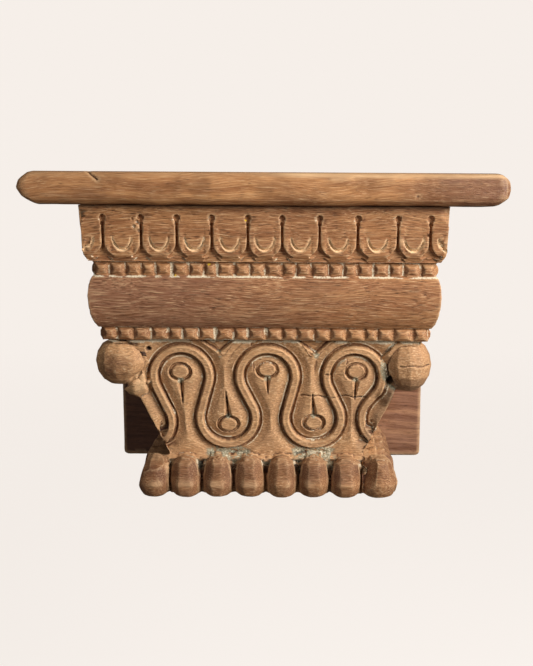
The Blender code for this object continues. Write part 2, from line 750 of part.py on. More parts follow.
def main():
    clear_scene()
    build_back_board()
    build_corbel()
    build_shelf()


main()
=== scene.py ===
"""Looks of the carved corbel shelf: a worn plank, a carved block and a back board.

Each piece starts as a copy of its CAD solid. The copy is turned into a fine even mesh, carved by hand-like
relief that the solid is too coarse for, thinned, and dressed as old oiled hardwood with dust and painted
shade in its cuts.
"""

import itertools
import logging
from collections.abc import Sequence
from dataclasses import dataclass, field
from enum import Enum
from math import acos, atan2, cos, pi, radians, sin

import bmesh
import bpy
import numpy as np
from mathutils import Matrix, Vector, kdtree


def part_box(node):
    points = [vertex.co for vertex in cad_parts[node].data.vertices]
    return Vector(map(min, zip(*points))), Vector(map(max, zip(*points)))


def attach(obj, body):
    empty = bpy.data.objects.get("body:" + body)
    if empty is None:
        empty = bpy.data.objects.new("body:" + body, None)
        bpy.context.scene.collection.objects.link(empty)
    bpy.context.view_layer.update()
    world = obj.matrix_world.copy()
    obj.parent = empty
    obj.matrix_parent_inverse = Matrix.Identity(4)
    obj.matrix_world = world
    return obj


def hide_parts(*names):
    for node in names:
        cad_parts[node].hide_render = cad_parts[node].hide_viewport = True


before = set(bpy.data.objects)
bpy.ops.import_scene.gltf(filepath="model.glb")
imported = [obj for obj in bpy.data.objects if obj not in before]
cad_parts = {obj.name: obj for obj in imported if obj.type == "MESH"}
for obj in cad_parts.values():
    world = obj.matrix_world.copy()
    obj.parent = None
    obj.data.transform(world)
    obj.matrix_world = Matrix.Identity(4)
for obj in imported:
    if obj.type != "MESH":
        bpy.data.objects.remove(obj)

LOG = logging.getLogger("corbel_shelf")
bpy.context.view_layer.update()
MILLIMETRES = 1000.0

Marks = dict[str, np.ndarray]
Facets = tuple[tuple[tuple[float, float, float], float], ...]


class Pigment(Enum):
    """Colours of the wood, of what lies on it and of the shade painted on it, as sRGB hex values."""

    UMBER = "#3a1f10"
    BARK = "#6e4426"
    TEAK = "#9e673d"
    HONEY = "#c68e5a"
    STRAW = "#e9c090"
    PLUM = "#7d5443"
    ROSE = "#b3835f"
    CHALK = "#e2d2b2"
    LICHEN = "#8b8971"
    # Near-black painted shade for holes, deep cuts and shadowed places.
    SOOT = "#1a0e08"
    OLD_YELLOW = "#dcb52a"
    BACKDROP = "#f6efe9"


def linear(colour: Pigment) -> tuple[float, float, float, float]:
    """Turns an sRGB hex colour to linear RGBA.

    Args:
        colour: the named colour.

    Returns:
        Red, green, blue and alpha, each 0 to 1.
    """
    channels = [int(colour.value[i : i + 2], 16) / 255 for i in (1, 3, 5)]
    return (*(c / 12.92 if c <= 0.04045 else ((c + 0.055) / 1.055) ** 2.4 for c in channels), 1.0)


def smooth_step(values: np.ndarray) -> np.ndarray:
    """Eases values from 0 to 1, and holds them there outside that range."""
    clipped = np.clip(values, 0.0, 1.0)
    return clipped * clipped * (3.0 - 2.0 * clipped)


def evenly_spaced(line: np.ndarray, step: float) -> np.ndarray:
    """Places at even steps along a line.

    Args:
        line: the line's corners, one row each.
        step: distance between two places.

    Returns:
        The places, one row each.
    """
    lengths = np.linalg.norm(np.diff(line, axis=0), axis=1)
    reached = np.concatenate([[0.0], np.cumsum(lengths)])
    steps = np.arange(0.0, reached[-1], step)
    return np.stack([np.interp(steps, reached, column) for column in line.T], axis=1)


def lattice_values(cells: np.ndarray, seed: int) -> np.ndarray:
    """Gives each lattice cell its own fixed value.

    Args:
        cells: whole numbers, one row of three per cell.
        seed: picks one set of values.

    Returns:
        A value from 0 to 1 for each cell.
    """
    mixed = (cells[:, 0] * 73856093) ^ (cells[:, 1] * 19349663) ^ (cells[:, 2] * 83492791) ^ (seed * 40503)
    mixed = ((mixed ^ (mixed >> 13)) * 1274126177) & 0xFFFFFFFF
    mixed = ((mixed ^ (mixed >> 15)) * 2246822519) & 0xFFFFFFFF
    return ((mixed ^ (mixed >> 16)) & 0xFFFFFF) / 0xFFFFFF


def noise(points: np.ndarray, size: tuple[float, float, float] | float, seed: int) -> np.ndarray:
    """Smooth random values in space.

    Args:
        points: places in millimetres, one row each.
        size: length of one swell in millimetres, or one length for each axis.
        seed: picks one set of values.

    Returns:
        A value from -1 to 1 for each place.
    """
    scaled = points / np.asarray(size, dtype=float)
    base = np.floor(scaled).astype(np.int64)
    ease = smooth_step(scaled - base)
    total = np.zeros(len(points))
    for corner in itertools.product((0, 1), repeat=3):
        weight = np.prod(np.where(corner, ease, 1.0 - ease), axis=1)
        total += weight * lattice_values(base + np.array(corner), seed)
    return 2.0 * total - 1.0


def even_noise(points: np.ndarray, size: tuple[float, float, float] | float, seed: int) -> np.ndarray:
    """The same random values as noise gives, but from 0 to 1."""
    return 0.5 + 0.5 * noise(points, size, seed)


def distance_to(points: np.ndarray, centre: np.ndarray) -> np.ndarray:
    """Distance of each place to one middle point."""
    return np.linalg.norm(points - centre, axis=1)


def stripe(values: np.ndarray, middle: float, reach: float, fullness: float) -> np.ndarray:
    """Share of a soft stripe: up to 1 round a middle value, and 0 beyond its reach."""
    return smooth_step(fullness * (1.0 - np.abs(values - middle) / reach))


def band(values: np.ndarray, start: float, rise: float, end: float, fall: float) -> np.ndarray:
    """Share that goes up to 1 over a rise after the start, and back to 0 over a fall before the end."""
    return smooth_step((values - start) / rise) * smooth_step((end - values) / fall)


def lift(marks: Marks, name: str, values: np.ndarray, chosen: np.ndarray | slice = slice(None)) -> None:
    """Raises one mark to new values wherever these are higher."""
    marks[name][chosen] = np.maximum(marks[name][chosen], values)


@dataclass
class DenseMesh:
    """Vertices, normals and edges of a piece as arrays, in millimetres."""

    piece: bpy.types.Object
    points: np.ndarray = field(init=False)
    normals: np.ndarray = field(init=False)
    edges: np.ndarray = field(init=False)

    def __post_init__(self) -> None:
        """Reads the arrays from the piece."""
        self.read()

    def read(self) -> None:
        """Reads places, normals and edges from the mesh."""
        mesh = self.piece.data
        count = len(mesh.vertices)
        flat = np.empty(count * 3, dtype=np.float32)
        mesh.vertices.foreach_get("co", flat)
        self.points = flat.reshape(-1, 3).astype(float) * MILLIMETRES
        mesh.vertices.foreach_get("normal", flat)
        self.normals = flat.reshape(-1, 3).astype(float)
        ends = np.empty(len(mesh.edges) * 2, dtype=np.int32)
        mesh.edges.foreach_get("vertices", ends)
        self.edges = ends.reshape(-1, 2)

    def write(self) -> None:
        """Writes the places back to the mesh and renews the normals."""
        flat = (self.points / MILLIMETRES).astype(np.float32).ravel()
        self.piece.data.vertices.foreach_set("co", flat)
        self.piece.data.update()
        self.read()

    def spread(self, values: np.ndarray, rounds: int) -> np.ndarray:
        """Averages values with those of neighbouring vertices.

        Args:
            values: one row for each vertex.
            rounds: how many times to average.

        Returns:
            The averaged values.
        """
        count = len(values)
        one, two = self.edges[:, 0], self.edges[:, 1]
        neighbours = np.maximum(np.bincount(one, minlength=count) + np.bincount(two, minlength=count), 1)
        columns = [values[:, i].copy() for i in range(values.shape[1])]
        for _ in range(rounds):
            for i, column in enumerate(columns):
                total = np.bincount(one, column[two], count) + np.bincount(two, column[one], count)
                columns[i] = 0.5 * (column + total / neighbours)
        return np.stack(columns, axis=1)

    def hollowness(self, rounds: int) -> np.ndarray:
        """How far each vertex lies below its surroundings, in millimetres; below zero on a raised edge.

        Args:
            rounds: how wide a surrounding to compare with.

        Returns:
            One value for each vertex.
        """
        level = self.spread(self.points, rounds)
        return np.einsum("ij,ij->i", level - self.points, self.normals)


def add_node(
    tree: bpy.types.NodeTree, kind: str, settings: dict[str, object] | None = None, **links: object
) -> bpy.types.Node:
    """Adds one shader node.

    Args:
        tree: the node tree.
        kind: the node's type name.
        settings: the node's own properties, or its input values by socket name.
        links: for each input, by name or as i0, i1 and so on, an output socket or a value.

    Returns:
        The new node.
    """
    node = tree.nodes.new(kind)
    for name, value in (settings or {}).items():
        if name in node.inputs:
            node.inputs[name].default_value = value
        else:
            setattr(node, name, value)
    for name, source in links.items():
        numbered = name[0] == "i" and name[1:].isdigit()
        socket = node.inputs[int(name[1:])] if numbered else node.inputs[name.replace("_", " ")]
        if isinstance(source, bpy.types.NodeSocket):
            tree.links.new(source, socket)
        else:
            socket.default_value = source
    return node


@dataclass(frozen=True)
class Pattern:
    """Noise in the wood: how long and how wide one swell of it is, in millimetres, and its finer layers."""

    length_mm: float
    width_mm: float
    detail: float


@dataclass(frozen=True)
class Coat:
    """One colour over the wood, which shows where a pattern or a mark runs from a low to a high value."""

    source: str
    low: float
    high: float
    share: float
    colour: Pigment
    mode: str = "MIX"


# Real pores are 0.2 mm wide and fibres finer still: both are drawn more than half a millimetre wide, so
# that they show.
GRAIN = {
    "streaks": Pattern(length_mm=150.0, width_mm=6.0, detail=3.0),
    "fibres": Pattern(length_mm=24.0, width_mm=0.75, detail=3.0),
    "pores": Pattern(length_mm=9.0, width_mm=0.6, detail=1.0),
    "blotches": Pattern(length_mm=34.0, width_mm=20.0, detail=3.0),
    "mottle": Pattern(length_mm=3.8, width_mm=1.2, detail=5.0),
    "crumbs": Pattern(length_mm=1.6, width_mm=1.3, detail=2.0),
}
# One mark paints shade, and darker wood in a few places, into the colour; one paints near-black shade; the
# wear and dust marks also paint highlights on lit edges and walls.
MARKS = ("hewn", "tone", "shade", "wear", "dust", "soil", "soot", "paint")
TIMES = {"operation": "MULTIPLY"}
TIMES_PLUS = {"operation": "MULTIPLY_ADD"}

WOOD_COATS = (
    Coat("streaks", 0.34, 0.70, 0.80, Pigment.HONEY),
    Coat("blotches", 0.52, 0.32, 0.35, Pigment.BARK),
    Coat("tone", 0.0, 1.0, 0.85, Pigment.PLUM),
    Coat("fibres", 0.50, 0.30, 0.85, Pigment.BARK),
    Coat("fibres", 0.53, 0.72, 0.60, Pigment.STRAW),
    Coat("pores", 0.56, 0.70, 0.80, Pigment.UMBER),
    Coat("hewn", 0.30, 1.0, 0.45, Pigment.HONEY),
    Coat("chatter", 0.48, 0.37, 0.75, Pigment.BARK),
    Coat("chatter", 0.53, 0.64, 0.55, Pigment.STRAW),
    Coat("chatter", 0.60, 0.70, 0.45, Pigment.CHALK),
)
SHELF_COATS = (
    Coat("streaks", 0.36, 0.68, 0.95, Pigment.HONEY),
    Coat("blotches", 0.54, 0.36, 0.55, Pigment.BARK),
    Coat("tone", 0.0, 1.0, 0.85, Pigment.PLUM),
    Coat("fibres", 0.50, 0.30, 0.50, Pigment.BARK),
    Coat("fibres", 0.53, 0.74, 0.45, Pigment.STRAW),
    Coat("pores", 0.60, 0.74, 0.55, Pigment.UMBER),
    Coat("chatter", 0.47, 0.30, 0.55, Pigment.BARK),
)
BOARD_COATS = (
    Coat("streaks", 0.36, 0.68, 0.85, Pigment.ROSE),
    Coat("streaks", 0.50, 0.34, 0.65, Pigment.BARK),
    Coat("blotches", 0.54, 0.34, 0.45, Pigment.BARK),
    Coat("fibres", 0.50, 0.32, 0.60, Pigment.BARK),
    Coat("fibres", 0.54, 0.72, 0.35, Pigment.ROSE),
    Coat("pores", 0.58, 0.72, 0.50, Pigment.UMBER),
)
# These coats lay painted shade, worn wood with painted highlights, dirt, dust with painted highlights,
# near-black painted shade and paint over the wood.
AGE_COATS = (
    Coat("shade", 0.0, 1.0, 0.95, Pigment.BARK, "MULTIPLY"),
    Coat("wear", 0.0, 1.0, 1.0, Pigment.STRAW),
    Coat("soil", 0.22, 0.42, 0.85, Pigment.LICHEN),
    Coat("soil", 0.46, 0.56, 0.85, Pigment.CHALK),
    Coat("dust", 0.22, 0.42, 0.92, Pigment.CHALK),
    Coat("soot", 0.0, 1.0, 1.0, Pigment.SOOT),
    Coat("paint", 0.45, 0.6, 1.0, Pigment.OLD_YELLOW),
)


@dataclass(frozen=True)
class OldHardwood:
    """Old teak-like hardwood, sawn or carved by hand, oiled and handled for years.

    Its fibres run along X and give long streaks, fine light and dark lines, short dark pores and a low satin
    gloss. Its cuts are painted darker as shade, nearly black where deepest, and hold pale dust; its raised
    edges are rubbed lighter, and some carry painted highlights.
    """

    name: str
    body: Pigment = Pigment.TEAK
    coats: tuple[Coat, ...] = WOOD_COATS
    roughness: float = 0.62
    grain_depth_mm: float = 0.5

    def build(self) -> bpy.types.Material:
        """Makes the material.

        Returns:
            The wood, with its pattern in Object coordinates.
        """
        material = bpy.data.materials.new(self.name)
        material.use_nodes = True
        tree = material.node_tree
        shader = tree.nodes["Principled BSDF"]
        shader.inputs["Metallic"].default_value = 0.0
        shader.inputs["IOR"].default_value = 1.48
        shader.inputs["Specular IOR Level"].default_value = 0.35
        sources = self.grain(tree) | self.marks(tree)
        for name in ("dust", "soil"):
            crumbly = add_node(tree, "ShaderNodeMath", TIMES, i0=sources["crumbs"], i1=sources[name])
            sources[name] = crumbly.outputs[0]
        centred = add_node(tree, "ShaderNodeMath", {"operation": "SUBTRACT"}, i0=sources["mottle"], i1=0.5)
        chatter = {"i0": centred.outputs[0], "i1": sources["hewn"], "i2": 0.5}
        sources["chatter"] = add_node(tree, "ShaderNodeMath", TIMES_PLUS, **chatter).outputs[0]
        colour: object = linear(self.body)
        for coat in self.coats + AGE_COATS:
            colour = self.covered(tree, coat, sources[coat.source], colour)
        tree.links.new(colour, shader.inputs["Base Color"])
        self.surface(tree, shader, sources)
        return material

    def grain(self, tree: bpy.types.NodeTree) -> dict[str, bpy.types.NodeSocket]:
        """Lays out the wood's patterns, drawn along the fibres and bent a little so that they wander.

        Args:
            tree: the material's nodes.

        Returns:
            The patterns by name, each 0 to 1.
        """
        place = add_node(tree, "ShaderNodeTexCoord").outputs["Object"]
        swell = self.scaled(tree, place, (1 / 95, 1 / 55, 1 / 45))
        bend = add_node(tree, "ShaderNodeTexNoise", {"Scale": 1.0, "Detail": 1.0}, Vector=swell)
        shift = {"i0": bend.outputs["Color"], "i1": (0.0, 0.016, 0.016), "i2": place}
        bent = add_node(tree, "ShaderNodeVectorMath", TIMES_PLUS, **shift).outputs[0]
        patterns = {}
        for name, pattern in GRAIN.items():
            across = 1 / pattern.width_mm
            drawn = self.scaled(tree, bent, (1 / pattern.length_mm, across, across))
            settings = {"Scale": 1.0, "Detail": pattern.detail, "Roughness": 0.55}
            patterns[name] = add_node(tree, "ShaderNodeTexNoise", settings, Vector=drawn).outputs["Fac"]
        return patterns

    def scaled(
        self, tree: bpy.types.NodeTree, place: bpy.types.NodeSocket, per_mm: tuple[float, float, float]
    ) -> bpy.types.NodeSocket:
        """Turns a place in metres to swells of a pattern.

        Args:
            tree: the material's nodes.
            place: the place in metres.
            per_mm: swells for each millimetre along X, Y and Z.

        Returns:
            The scaled place.
        """
        size = tuple(MILLIMETRES * share for share in per_mm)
        return add_node(tree, "ShaderNodeVectorMath", TIMES, i0=place, i1=size).outputs[0]

    def marks(self, tree: bpy.types.NodeTree) -> dict[str, bpy.types.NodeSocket]:
        """Reads the marks of age that the mesh carries.

        Args:
            tree: the material's nodes.

        Returns:
            The marks by name, each 0 to 1.
        """
        nodes = {name: add_node(tree, "ShaderNodeAttribute", {"attribute_name": name}) for name in MARKS}
        return {name: node.outputs["Fac"] for name, node in nodes.items()}

    def covered(
        self, tree: bpy.types.NodeTree, coat: Coat, source: bpy.types.NodeSocket, colour: object
    ) -> bpy.types.NodeSocket:
        """Lays one coat over a colour.

        Args:
            tree: the material's nodes.
            coat: the coat.
            source: the pattern or mark that says where it lies.
            colour: the colour under it.

        Returns:
            The new colour.
        """
        span = {"From Min": coat.low, "From Max": coat.high, "To Min": 0.0, "To Max": coat.share}
        share = add_node(tree, "ShaderNodeMapRange", span, Value=source).outputs["Result"]
        mix = {"data_type": "RGBA", "blend_type": coat.mode}
        return add_node(tree, "ShaderNodeMix", mix, i0=share, i6=colour, i7=linear(coat.colour)).outputs[2]

    def surface(
        self, tree: bpy.types.NodeTree, shader: bpy.types.Node, sources: dict[str, bpy.types.NodeSocket]
    ) -> None:
        """Sets roughness, duller in the dust, and the raised grain.

        Args:
            tree: the material's nodes.
            shader: the Principled shader.
            sources: patterns and marks by name.
        """
        least, most = self.roughness - 0.1, self.roughness + 0.1
        uneven = {"From Min": 0.25, "From Max": 0.75, "To Min": least, "To Max": most}
        rough = add_node(tree, "ShaderNodeMapRange", uneven, Value=sources["fibres"]).outputs["Result"]
        settings = TIMES_PLUS | {"use_clamp": True}
        rough = add_node(tree, "ShaderNodeMath", settings, i0=sources["dust"], i1=0.5, i2=rough).outputs[0]
        tree.links.new(rough, shader.inputs["Roughness"])
        height = sources["fibres"]
        for name, weight in (("pores", -0.7), ("chatter", 1.8)):
            raised = {"i0": sources[name], "i1": weight, "i2": height}
            height = add_node(tree, "ShaderNodeMath", TIMES_PLUS, **raised).outputs[0]
        depth = self.grain_depth_mm / MILLIMETRES
        bump = add_node(tree, "ShaderNodeBump", {"Strength": 0.8, "Distance": depth}, Height=height)
        tree.links.new(bump.outputs[0], shader.inputs["Normal"])


@dataclass
class WoodPiece:
    """One piece of wood: its CAD node, the fineness of its mesh and its finish."""

    node: str
    name: str
    finish: OldHardwood
    grid_mm: float
    triangles: int
    smoothing: int = 2
    flat_margin_mm: float = 1.2

    def build(self) -> bpy.types.Object:
        """Makes the finished piece in place of its CAD node.

        Returns:
            The new piece.
        """
        piece = self.merged_copy()
        self.change(piece, "REMESH", mode="VOXEL", voxel_size=self.grid_mm / MILLIMETRES)
        self.change(piece, "SMOOTH", factor=0.5, iterations=self.smoothing)
        dense = DenseMesh(piece)
        self.carve(dense)
        dense.write()
        marks = self.marks(dense)
        places = dense.points
        count = sum(len(face.vertices) - 2 for face in piece.data.polygons)
        if count > self.triangles:
            self.change(piece, "DECIMATE", ratio=self.triangles / count)
        self.hand_over(piece, places, marks)
        piece.data.shade_smooth()
        piece.data.materials.clear()
        piece.data.materials.append(self.finish.build())
        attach(piece, "root")
        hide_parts(self.node)
        return piece

    def merged_copy(self) -> bpy.types.Object:
        """Copies the CAD node with its loose triangles merged.

        Returns:
            The copy, which is closed.
        """
        bm = bmesh.new()
        bm.from_mesh(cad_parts[self.node].data)
        bmesh.ops.remove_doubles(bm, verts=bm.verts, dist=1e-6)
        mesh = bpy.data.meshes.new(self.name)
        bm.to_mesh(mesh)
        bm.free()
        piece = bpy.data.objects.new(self.name, mesh)
        bpy.context.scene.collection.objects.link(piece)
        return piece

    def corners(self) -> tuple[np.ndarray, np.ndarray]:
        """Lowest and highest corner of the CAD node, in millimetres."""
        low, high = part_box(self.node)
        return np.array(low) * MILLIMETRES, np.array(high) * MILLIMETRES

    def change(self, piece: bpy.types.Object, kind: str, **settings: object) -> None:
        """Runs one modifier and keeps its result as the mesh.

        Args:
            piece: the piece to change.
            kind: the modifier's type.
            settings: the modifier's settings.
        """
        modifier = piece.modifiers.new(kind.title(), kind)
        for name, value in settings.items():
            setattr(modifier, name, value)
        changed = bpy.data.meshes.new_from_object(piece.evaluated_get(bpy.context.evaluated_depsgraph_get()))
        piece.modifiers.clear()
        before, piece.data = piece.data, changed
        bpy.data.meshes.remove(before)

    def carve(self, dense: DenseMesh) -> None:
        """Carves the fine relief; a plain piece gets the unevenness of old wood alone.

        Args:
            dense: the fine mesh.
        """
        self.roughen(dense, swell_mm=0.25, tool_mm=0.08)

    def free_share(self, points: np.ndarray) -> np.ndarray:
        """How freely each place may move: 0 on the flat faces that touch another piece or the wall.

        Args:
            points: places in millimetres.

        Returns:
            A share from 0 to 1.
        """
        _, high = self.corners()
        room = np.minimum(high[1] - points[:, 1], high[2] - points[:, 2])
        return smooth_step((room - self.flat_margin_mm) / (2.0 * self.flat_margin_mm))

    def crisp(self, dense: DenseMesh, rounds: int, share: float) -> None:
        """Sharpens the edges and cuts that the even mesh rounded off.

        Args:
            dense: the fine mesh.
            rounds: how wide the rounding was.
            share: how much of it to take back.
        """
        pull = dense.points - dense.spread(dense.points, rounds)
        length = np.maximum(np.linalg.norm(pull, axis=1), 1e-6)
        share_left = np.minimum(1.0, 0.8 / length) * self.free_share(dense.points)
        dense.points += pull * (share * share_left)[:, None]
        dense.write()

    def roughen(self, dense: DenseMesh, swell_mm: float, tool_mm: float) -> None:
        """Moves the surface in and out as hand work leaves it.

        Args:
            dense: the fine mesh.
            swell_mm: depth of the broad swells.
            tool_mm: depth of the tool marks.
        """
        places = dense.points
        amount = swell_mm * noise(places, 24.0, 3) + tool_mm * noise(places, (9.0, 5.0, 5.0), 5)
        amount = (amount - swell_mm * 0.5) * self.free_share(places)
        dense.points = places + dense.normals * amount[:, None]

    def marks(self, dense: DenseMesh) -> Marks:
        """Works out where painted shade darkens the hollows, nearly black in the deepest, where raised edges
        are rubbed lighter, partly as painted highlights, and where dust lies.

        Args:
            dense: the carved mesh.

        Returns:
            Shares from 0 to 1 for each vertex, by the name that the wood reads.
        """
        near = dense.hollowness(3)
        wide = dense.hollowness(24)
        places = dense.points
        patches = even_noise(places, 15.0, 21)
        crumbs = even_noise(places, 2.6, 22)
        none = np.zeros(len(places))
        return {
            # painted shade, darker the deeper a vertex lies in a hollow
            "shade": 0.80 * smooth_step((near - 0.07) / 0.28) + 0.20 * smooth_step((wide - 0.5) / 1.8),
            # raised edges lighter: rubbed wear and a painted highlight
            "wear": 0.5 * smooth_step((-near - 0.03) / 0.18) * (0.3 + 0.7 * crumbs),
            "dust": 0.85 * smooth_step((near - 0.20) / 0.22) * smooth_step((patches - 0.55) / 0.2),
            "soil": none,
            "hewn": none + 0.3,
            # painted near-black shade in the deepest hollows
            "soot": 0.7 * smooth_step((near - 0.22) / 0.25) * smooth_step((0.5 - patches) / 0.25),
            "tone": 0.12 + 0.2 * noise(places, (90.0, 40.0, 30.0), 23),
            "paint": none.copy(),
        }

    def hand_over(self, piece: bpy.types.Object, places: np.ndarray, marks: Marks) -> None:
        """Gives each vertex of the thinned mesh the marks of the nearest vertex of the fine one.

        Args:
            piece: the thinned piece.
            places: the fine mesh's places in millimetres.
            marks: the fine mesh's marks.
        """
        tree = kdtree.KDTree(len(places))
        for index, place in enumerate(places.tolist()):
            tree.insert(place, index)
        tree.balance()
        nearest = np.array([tree.find(vertex.co * MILLIMETRES)[1] for vertex in piece.data.vertices])
        for name, values in marks.items():
            layer = piece.data.attributes.new(name, "FLOAT", "POINT")
            layer.data.foreach_set("value", np.clip(values[nearest], 0.0, 1.0).astype(np.float32))


@dataclass(frozen=True)
class Drop:
    """One drop between two bights of the ribbon, in the panel's own millimetres.

    An upright one has its bud at the top; a hanging one ends in a hollow under the beads.
    """

    bud: tuple[float, float]
    slit_end: tuple[float, float]
    crease_end: tuple[float, float]
    upright: bool


@dataclass
class RibbonPanel:
    """Carved face with a winding ribbon, the drops between its bights and their buds.

    Places on the face are u along it and v up it from its foot, and height is out of it, in millimetres.
    """

    foot: np.ndarray
    along: np.ndarray
    rise: np.ndarray
    foot_half_mm: float
    top_half_mm: float
    bights: tuple[tuple[float, float], ...]
    radius_mm: float
    drops: tuple[Drop, ...]
    holes: tuple[tuple[float, float, float, float], ...] = ()
    balls: tuple[tuple[float, float, float], ...] = ()
    cracks: tuple[tuple[float, float, float, float], ...] = ()
    profile: tuple[tuple[float, float], ...] = (
        (0.0, 0.35),
        (2.4, 0.2),
        (3.0, -0.4),
        (3.5, -1.9),
        (4.1, -4.4),
        (5.1, -5.2),
        (5.8, -4.9),
        (6.6, -3.7),
        (8.0, -3.4),
        (11.0, -2.1),
        (14.5, -0.5),
        (18.0, 0.1),
    )
    groove_mm: float = 5.6
    path: np.ndarray = field(init=False)
    length_mm: float = field(init=False)
    up: np.ndarray = field(init=False)

    def __post_init__(self) -> None:
        """Works out the ribbon's middle line, and the face's slant and length."""
        self.path = self.middle_line()
        self.length_mm = float(np.linalg.norm(self.rise))
        self.up = self.rise / np.linalg.norm(self.rise)

    def middle_line(self) -> np.ndarray:
        """Points along the middle of the ribbon, from the first bight to the last.

        Returns:
            Rows of u and v.
        """
        centres = [np.array(bight) for bight in self.bights]
        leaving = []
        for i, (one, two) in enumerate(zip(centres, centres[1:])):
            span = two - one
            swing = acos(min(1.0, 2 * self.radius_mm / np.hypot(*span)))
            leaving.append(atan2(span[1], span[0]) + (swing if i % 2 else -swing))
        points = []
        for i, centre in enumerate(centres):
            high = bool(i % 2)
            start = radians(-60) if i == 0 else leaving[i - 1] + (-pi if high else pi)
            end = pi + radians(60) if i == len(centres) - 1 else leaving[i]
            if high:
                start += 2 * pi
            elif end < start:
                end += 2 * pi
            turns = np.linspace(start, end, 120)
            ring = np.stack([np.cos(turns), np.sin(turns)], axis=1)
            points.append(centre + self.radius_mm * ring)
        return evenly_spaced(np.concatenate(points), 0.4)

    def ribbon_distance(self, u: np.ndarray, v: np.ndarray) -> np.ndarray:
        """Distance of each place to the ribbon's middle line.

        Args:
            u: places along the face.
            v: places up the face.

        Returns:
            Distances in millimetres.
        """
        tree = kdtree.KDTree(len(self.path))
        for index, (x, y) in enumerate(self.path.tolist()):
            tree.insert((x, y, 0.0), index)
        tree.balance()
        return np.array([tree.find((x, y, 0.0))[2] for x, y in zip(u.tolist(), v.tolist())])

    def height(self, u: np.ndarray, v: np.ndarray, distance: np.ndarray) -> np.ndarray:
        """Height of the carved face.

        Args:
            u: places along the face.
            v: places up the face.
            distance: distance of each to the ribbon's middle line.

        Returns:
            Heights over the plain face, in millimetres.
        """
        height = np.interp(distance, *zip(*self.profile))
        wood = distance > self.groove_mm
        for drop in self.drops:
            if not drop.upright:
                height = self.with_hollow(drop, height, distance, u, v)
            height = np.where(wood, np.minimum(height, self.drop_cuts(drop, u, v)), height)
        for centre, _ in self.bights[::2]:
            pit = np.exp(-(((u - centre) / 15.0) ** 2) - ((v - 0.5) / 3.4) ** 2)
            height -= 3.0 * pit * wood
        for *place, depth in self.holes:
            height -= depth * self.spot(place, u, v)
        for middle_u, middle_v, radius in self.balls:
            around = np.hypot(u - middle_u, v - middle_v) - radius
            height -= 2.6 * np.exp(-((around / 2.2) ** 2)) * wood
        for crack in self.cracks:
            height -= self.crack_depth(crack, u, v)
        return height

    def crack_depth(self, crack: Sequence[float], u: np.ndarray, v: np.ndarray) -> np.ndarray:
        """Depth of one wandering hairline crack.

        Args:
            crack: u and v of its start and of its end.
            u: places along the face.
            v: places up the face.

        Returns:
            Depths in millimetres.
        """
        start_u, start_v, end_u, end_v = crack
        line = np.array([end_u - start_u, end_v - start_v])
        run = np.clip(((u - start_u) * line[0] + (v - start_v) * line[1]) / (line @ line), 0.0, 1.0)
        wander = 1.1 * np.sin(11.0 * run) + 0.6 * np.sin(29.0 * run)
        gap = np.hypot(u - start_u - run * line[0], v - start_v - run * line[1] - wander)
        return 1.5 * np.maximum(1.0 - gap / 0.9, 0.0)

    def spot(self, place: Sequence[float], u: np.ndarray, v: np.ndarray) -> np.ndarray:
        """Share from 0 to 1 of a round spot, given as u, v and radius, at each place."""
        return stripe(np.hypot(u - place[0], v - place[1]), 0.0, place[2], 1.3)

    def marks(self, u: np.ndarray, v: np.ndarray, distance: np.ndarray) -> Marks:
        """Where pale dust, dirt, painted shade and painted highlights lie along the ribbon, and where a hole
        is painted black as shade.

        Args:
            u: places along the face.
            v: places up the face.
            distance: distance of each to the ribbon's middle line.

        Returns:
            Shares from 0 to 1, by the name that the wood reads.
        """
        # painted shade in the ribbon's grooves and on the slopes beside them
        groove = 0.65 * stripe(distance, 5.1, 1.6, 1.5)
        slope = 0.14 * smooth_step((14.0 - distance) / 7.0) * (distance > 5.2)
        # holes painted black as shade
        black = [self.spot(place, u, v) * (depth > 0.0) for *place, depth in self.holes]
        return {
            # a pale line inside the groove: dust, and a painted highlight on its lit edge
            "dust": stripe(distance, 7.1, 1.0, 1.3),
            "soil": self.dirt(u, v, distance),
            "soot": np.max([np.zeros(len(u)), *black], axis=0),
            # painted highlight along the ribbon's raised edges
            "wear": 0.4 * stripe(distance, 2.6, 0.9, 1.4),
            "shade": np.maximum(groove, slope),
        }

    def dirt(self, u: np.ndarray, v: np.ndarray, distance: np.ndarray) -> np.ndarray:
        """Dirt beside the buds, in the tips of the drops, round the ball, under the beads and in the bights.

        Args:
            u: places along the face.
            v: places up the face.
            distance: distance of each to the ribbon's middle line.

        Returns:
            Shares from 0 to 1.
        """
        layers = [0.7 * smooth_step((v - self.length_mm + 6.0) / 4.0)]
        for drop in self.drops:
            beside = -8.5 if drop.upright else 8.5
            layers.append(self.spot((drop.bud[0], drop.bud[1] + beside, 6.0), u, v))
            if not drop.upright:
                layers.append(self.spot((*drop.crease_end, 6.5), u, v))
        for middle_u, middle_v, radius in self.balls:
            around = np.hypot(u - middle_u, v - middle_v) - radius
            layers.append(0.9 * np.exp(-((around / 2.4) ** 2)))
        for centre, _ in self.bights[::2]:
            under = smooth_step((26.0 - np.abs(u - centre)) / 8.0) * smooth_step((9.5 - v) / 5.0)
            layers.append(under * smooth_step((distance - 4.6) / 1.0))
        return np.max(layers, axis=0)

    def crease(self, drop: Drop, v: np.ndarray) -> np.ndarray:
        """Where the middle of a drop runs at each height of the face."""
        line = sorted((drop.bud, drop.slit_end, drop.crease_end), key=lambda place: place[1])
        return np.interp(v, [place[1] for place in line], [place[0] for place in line])

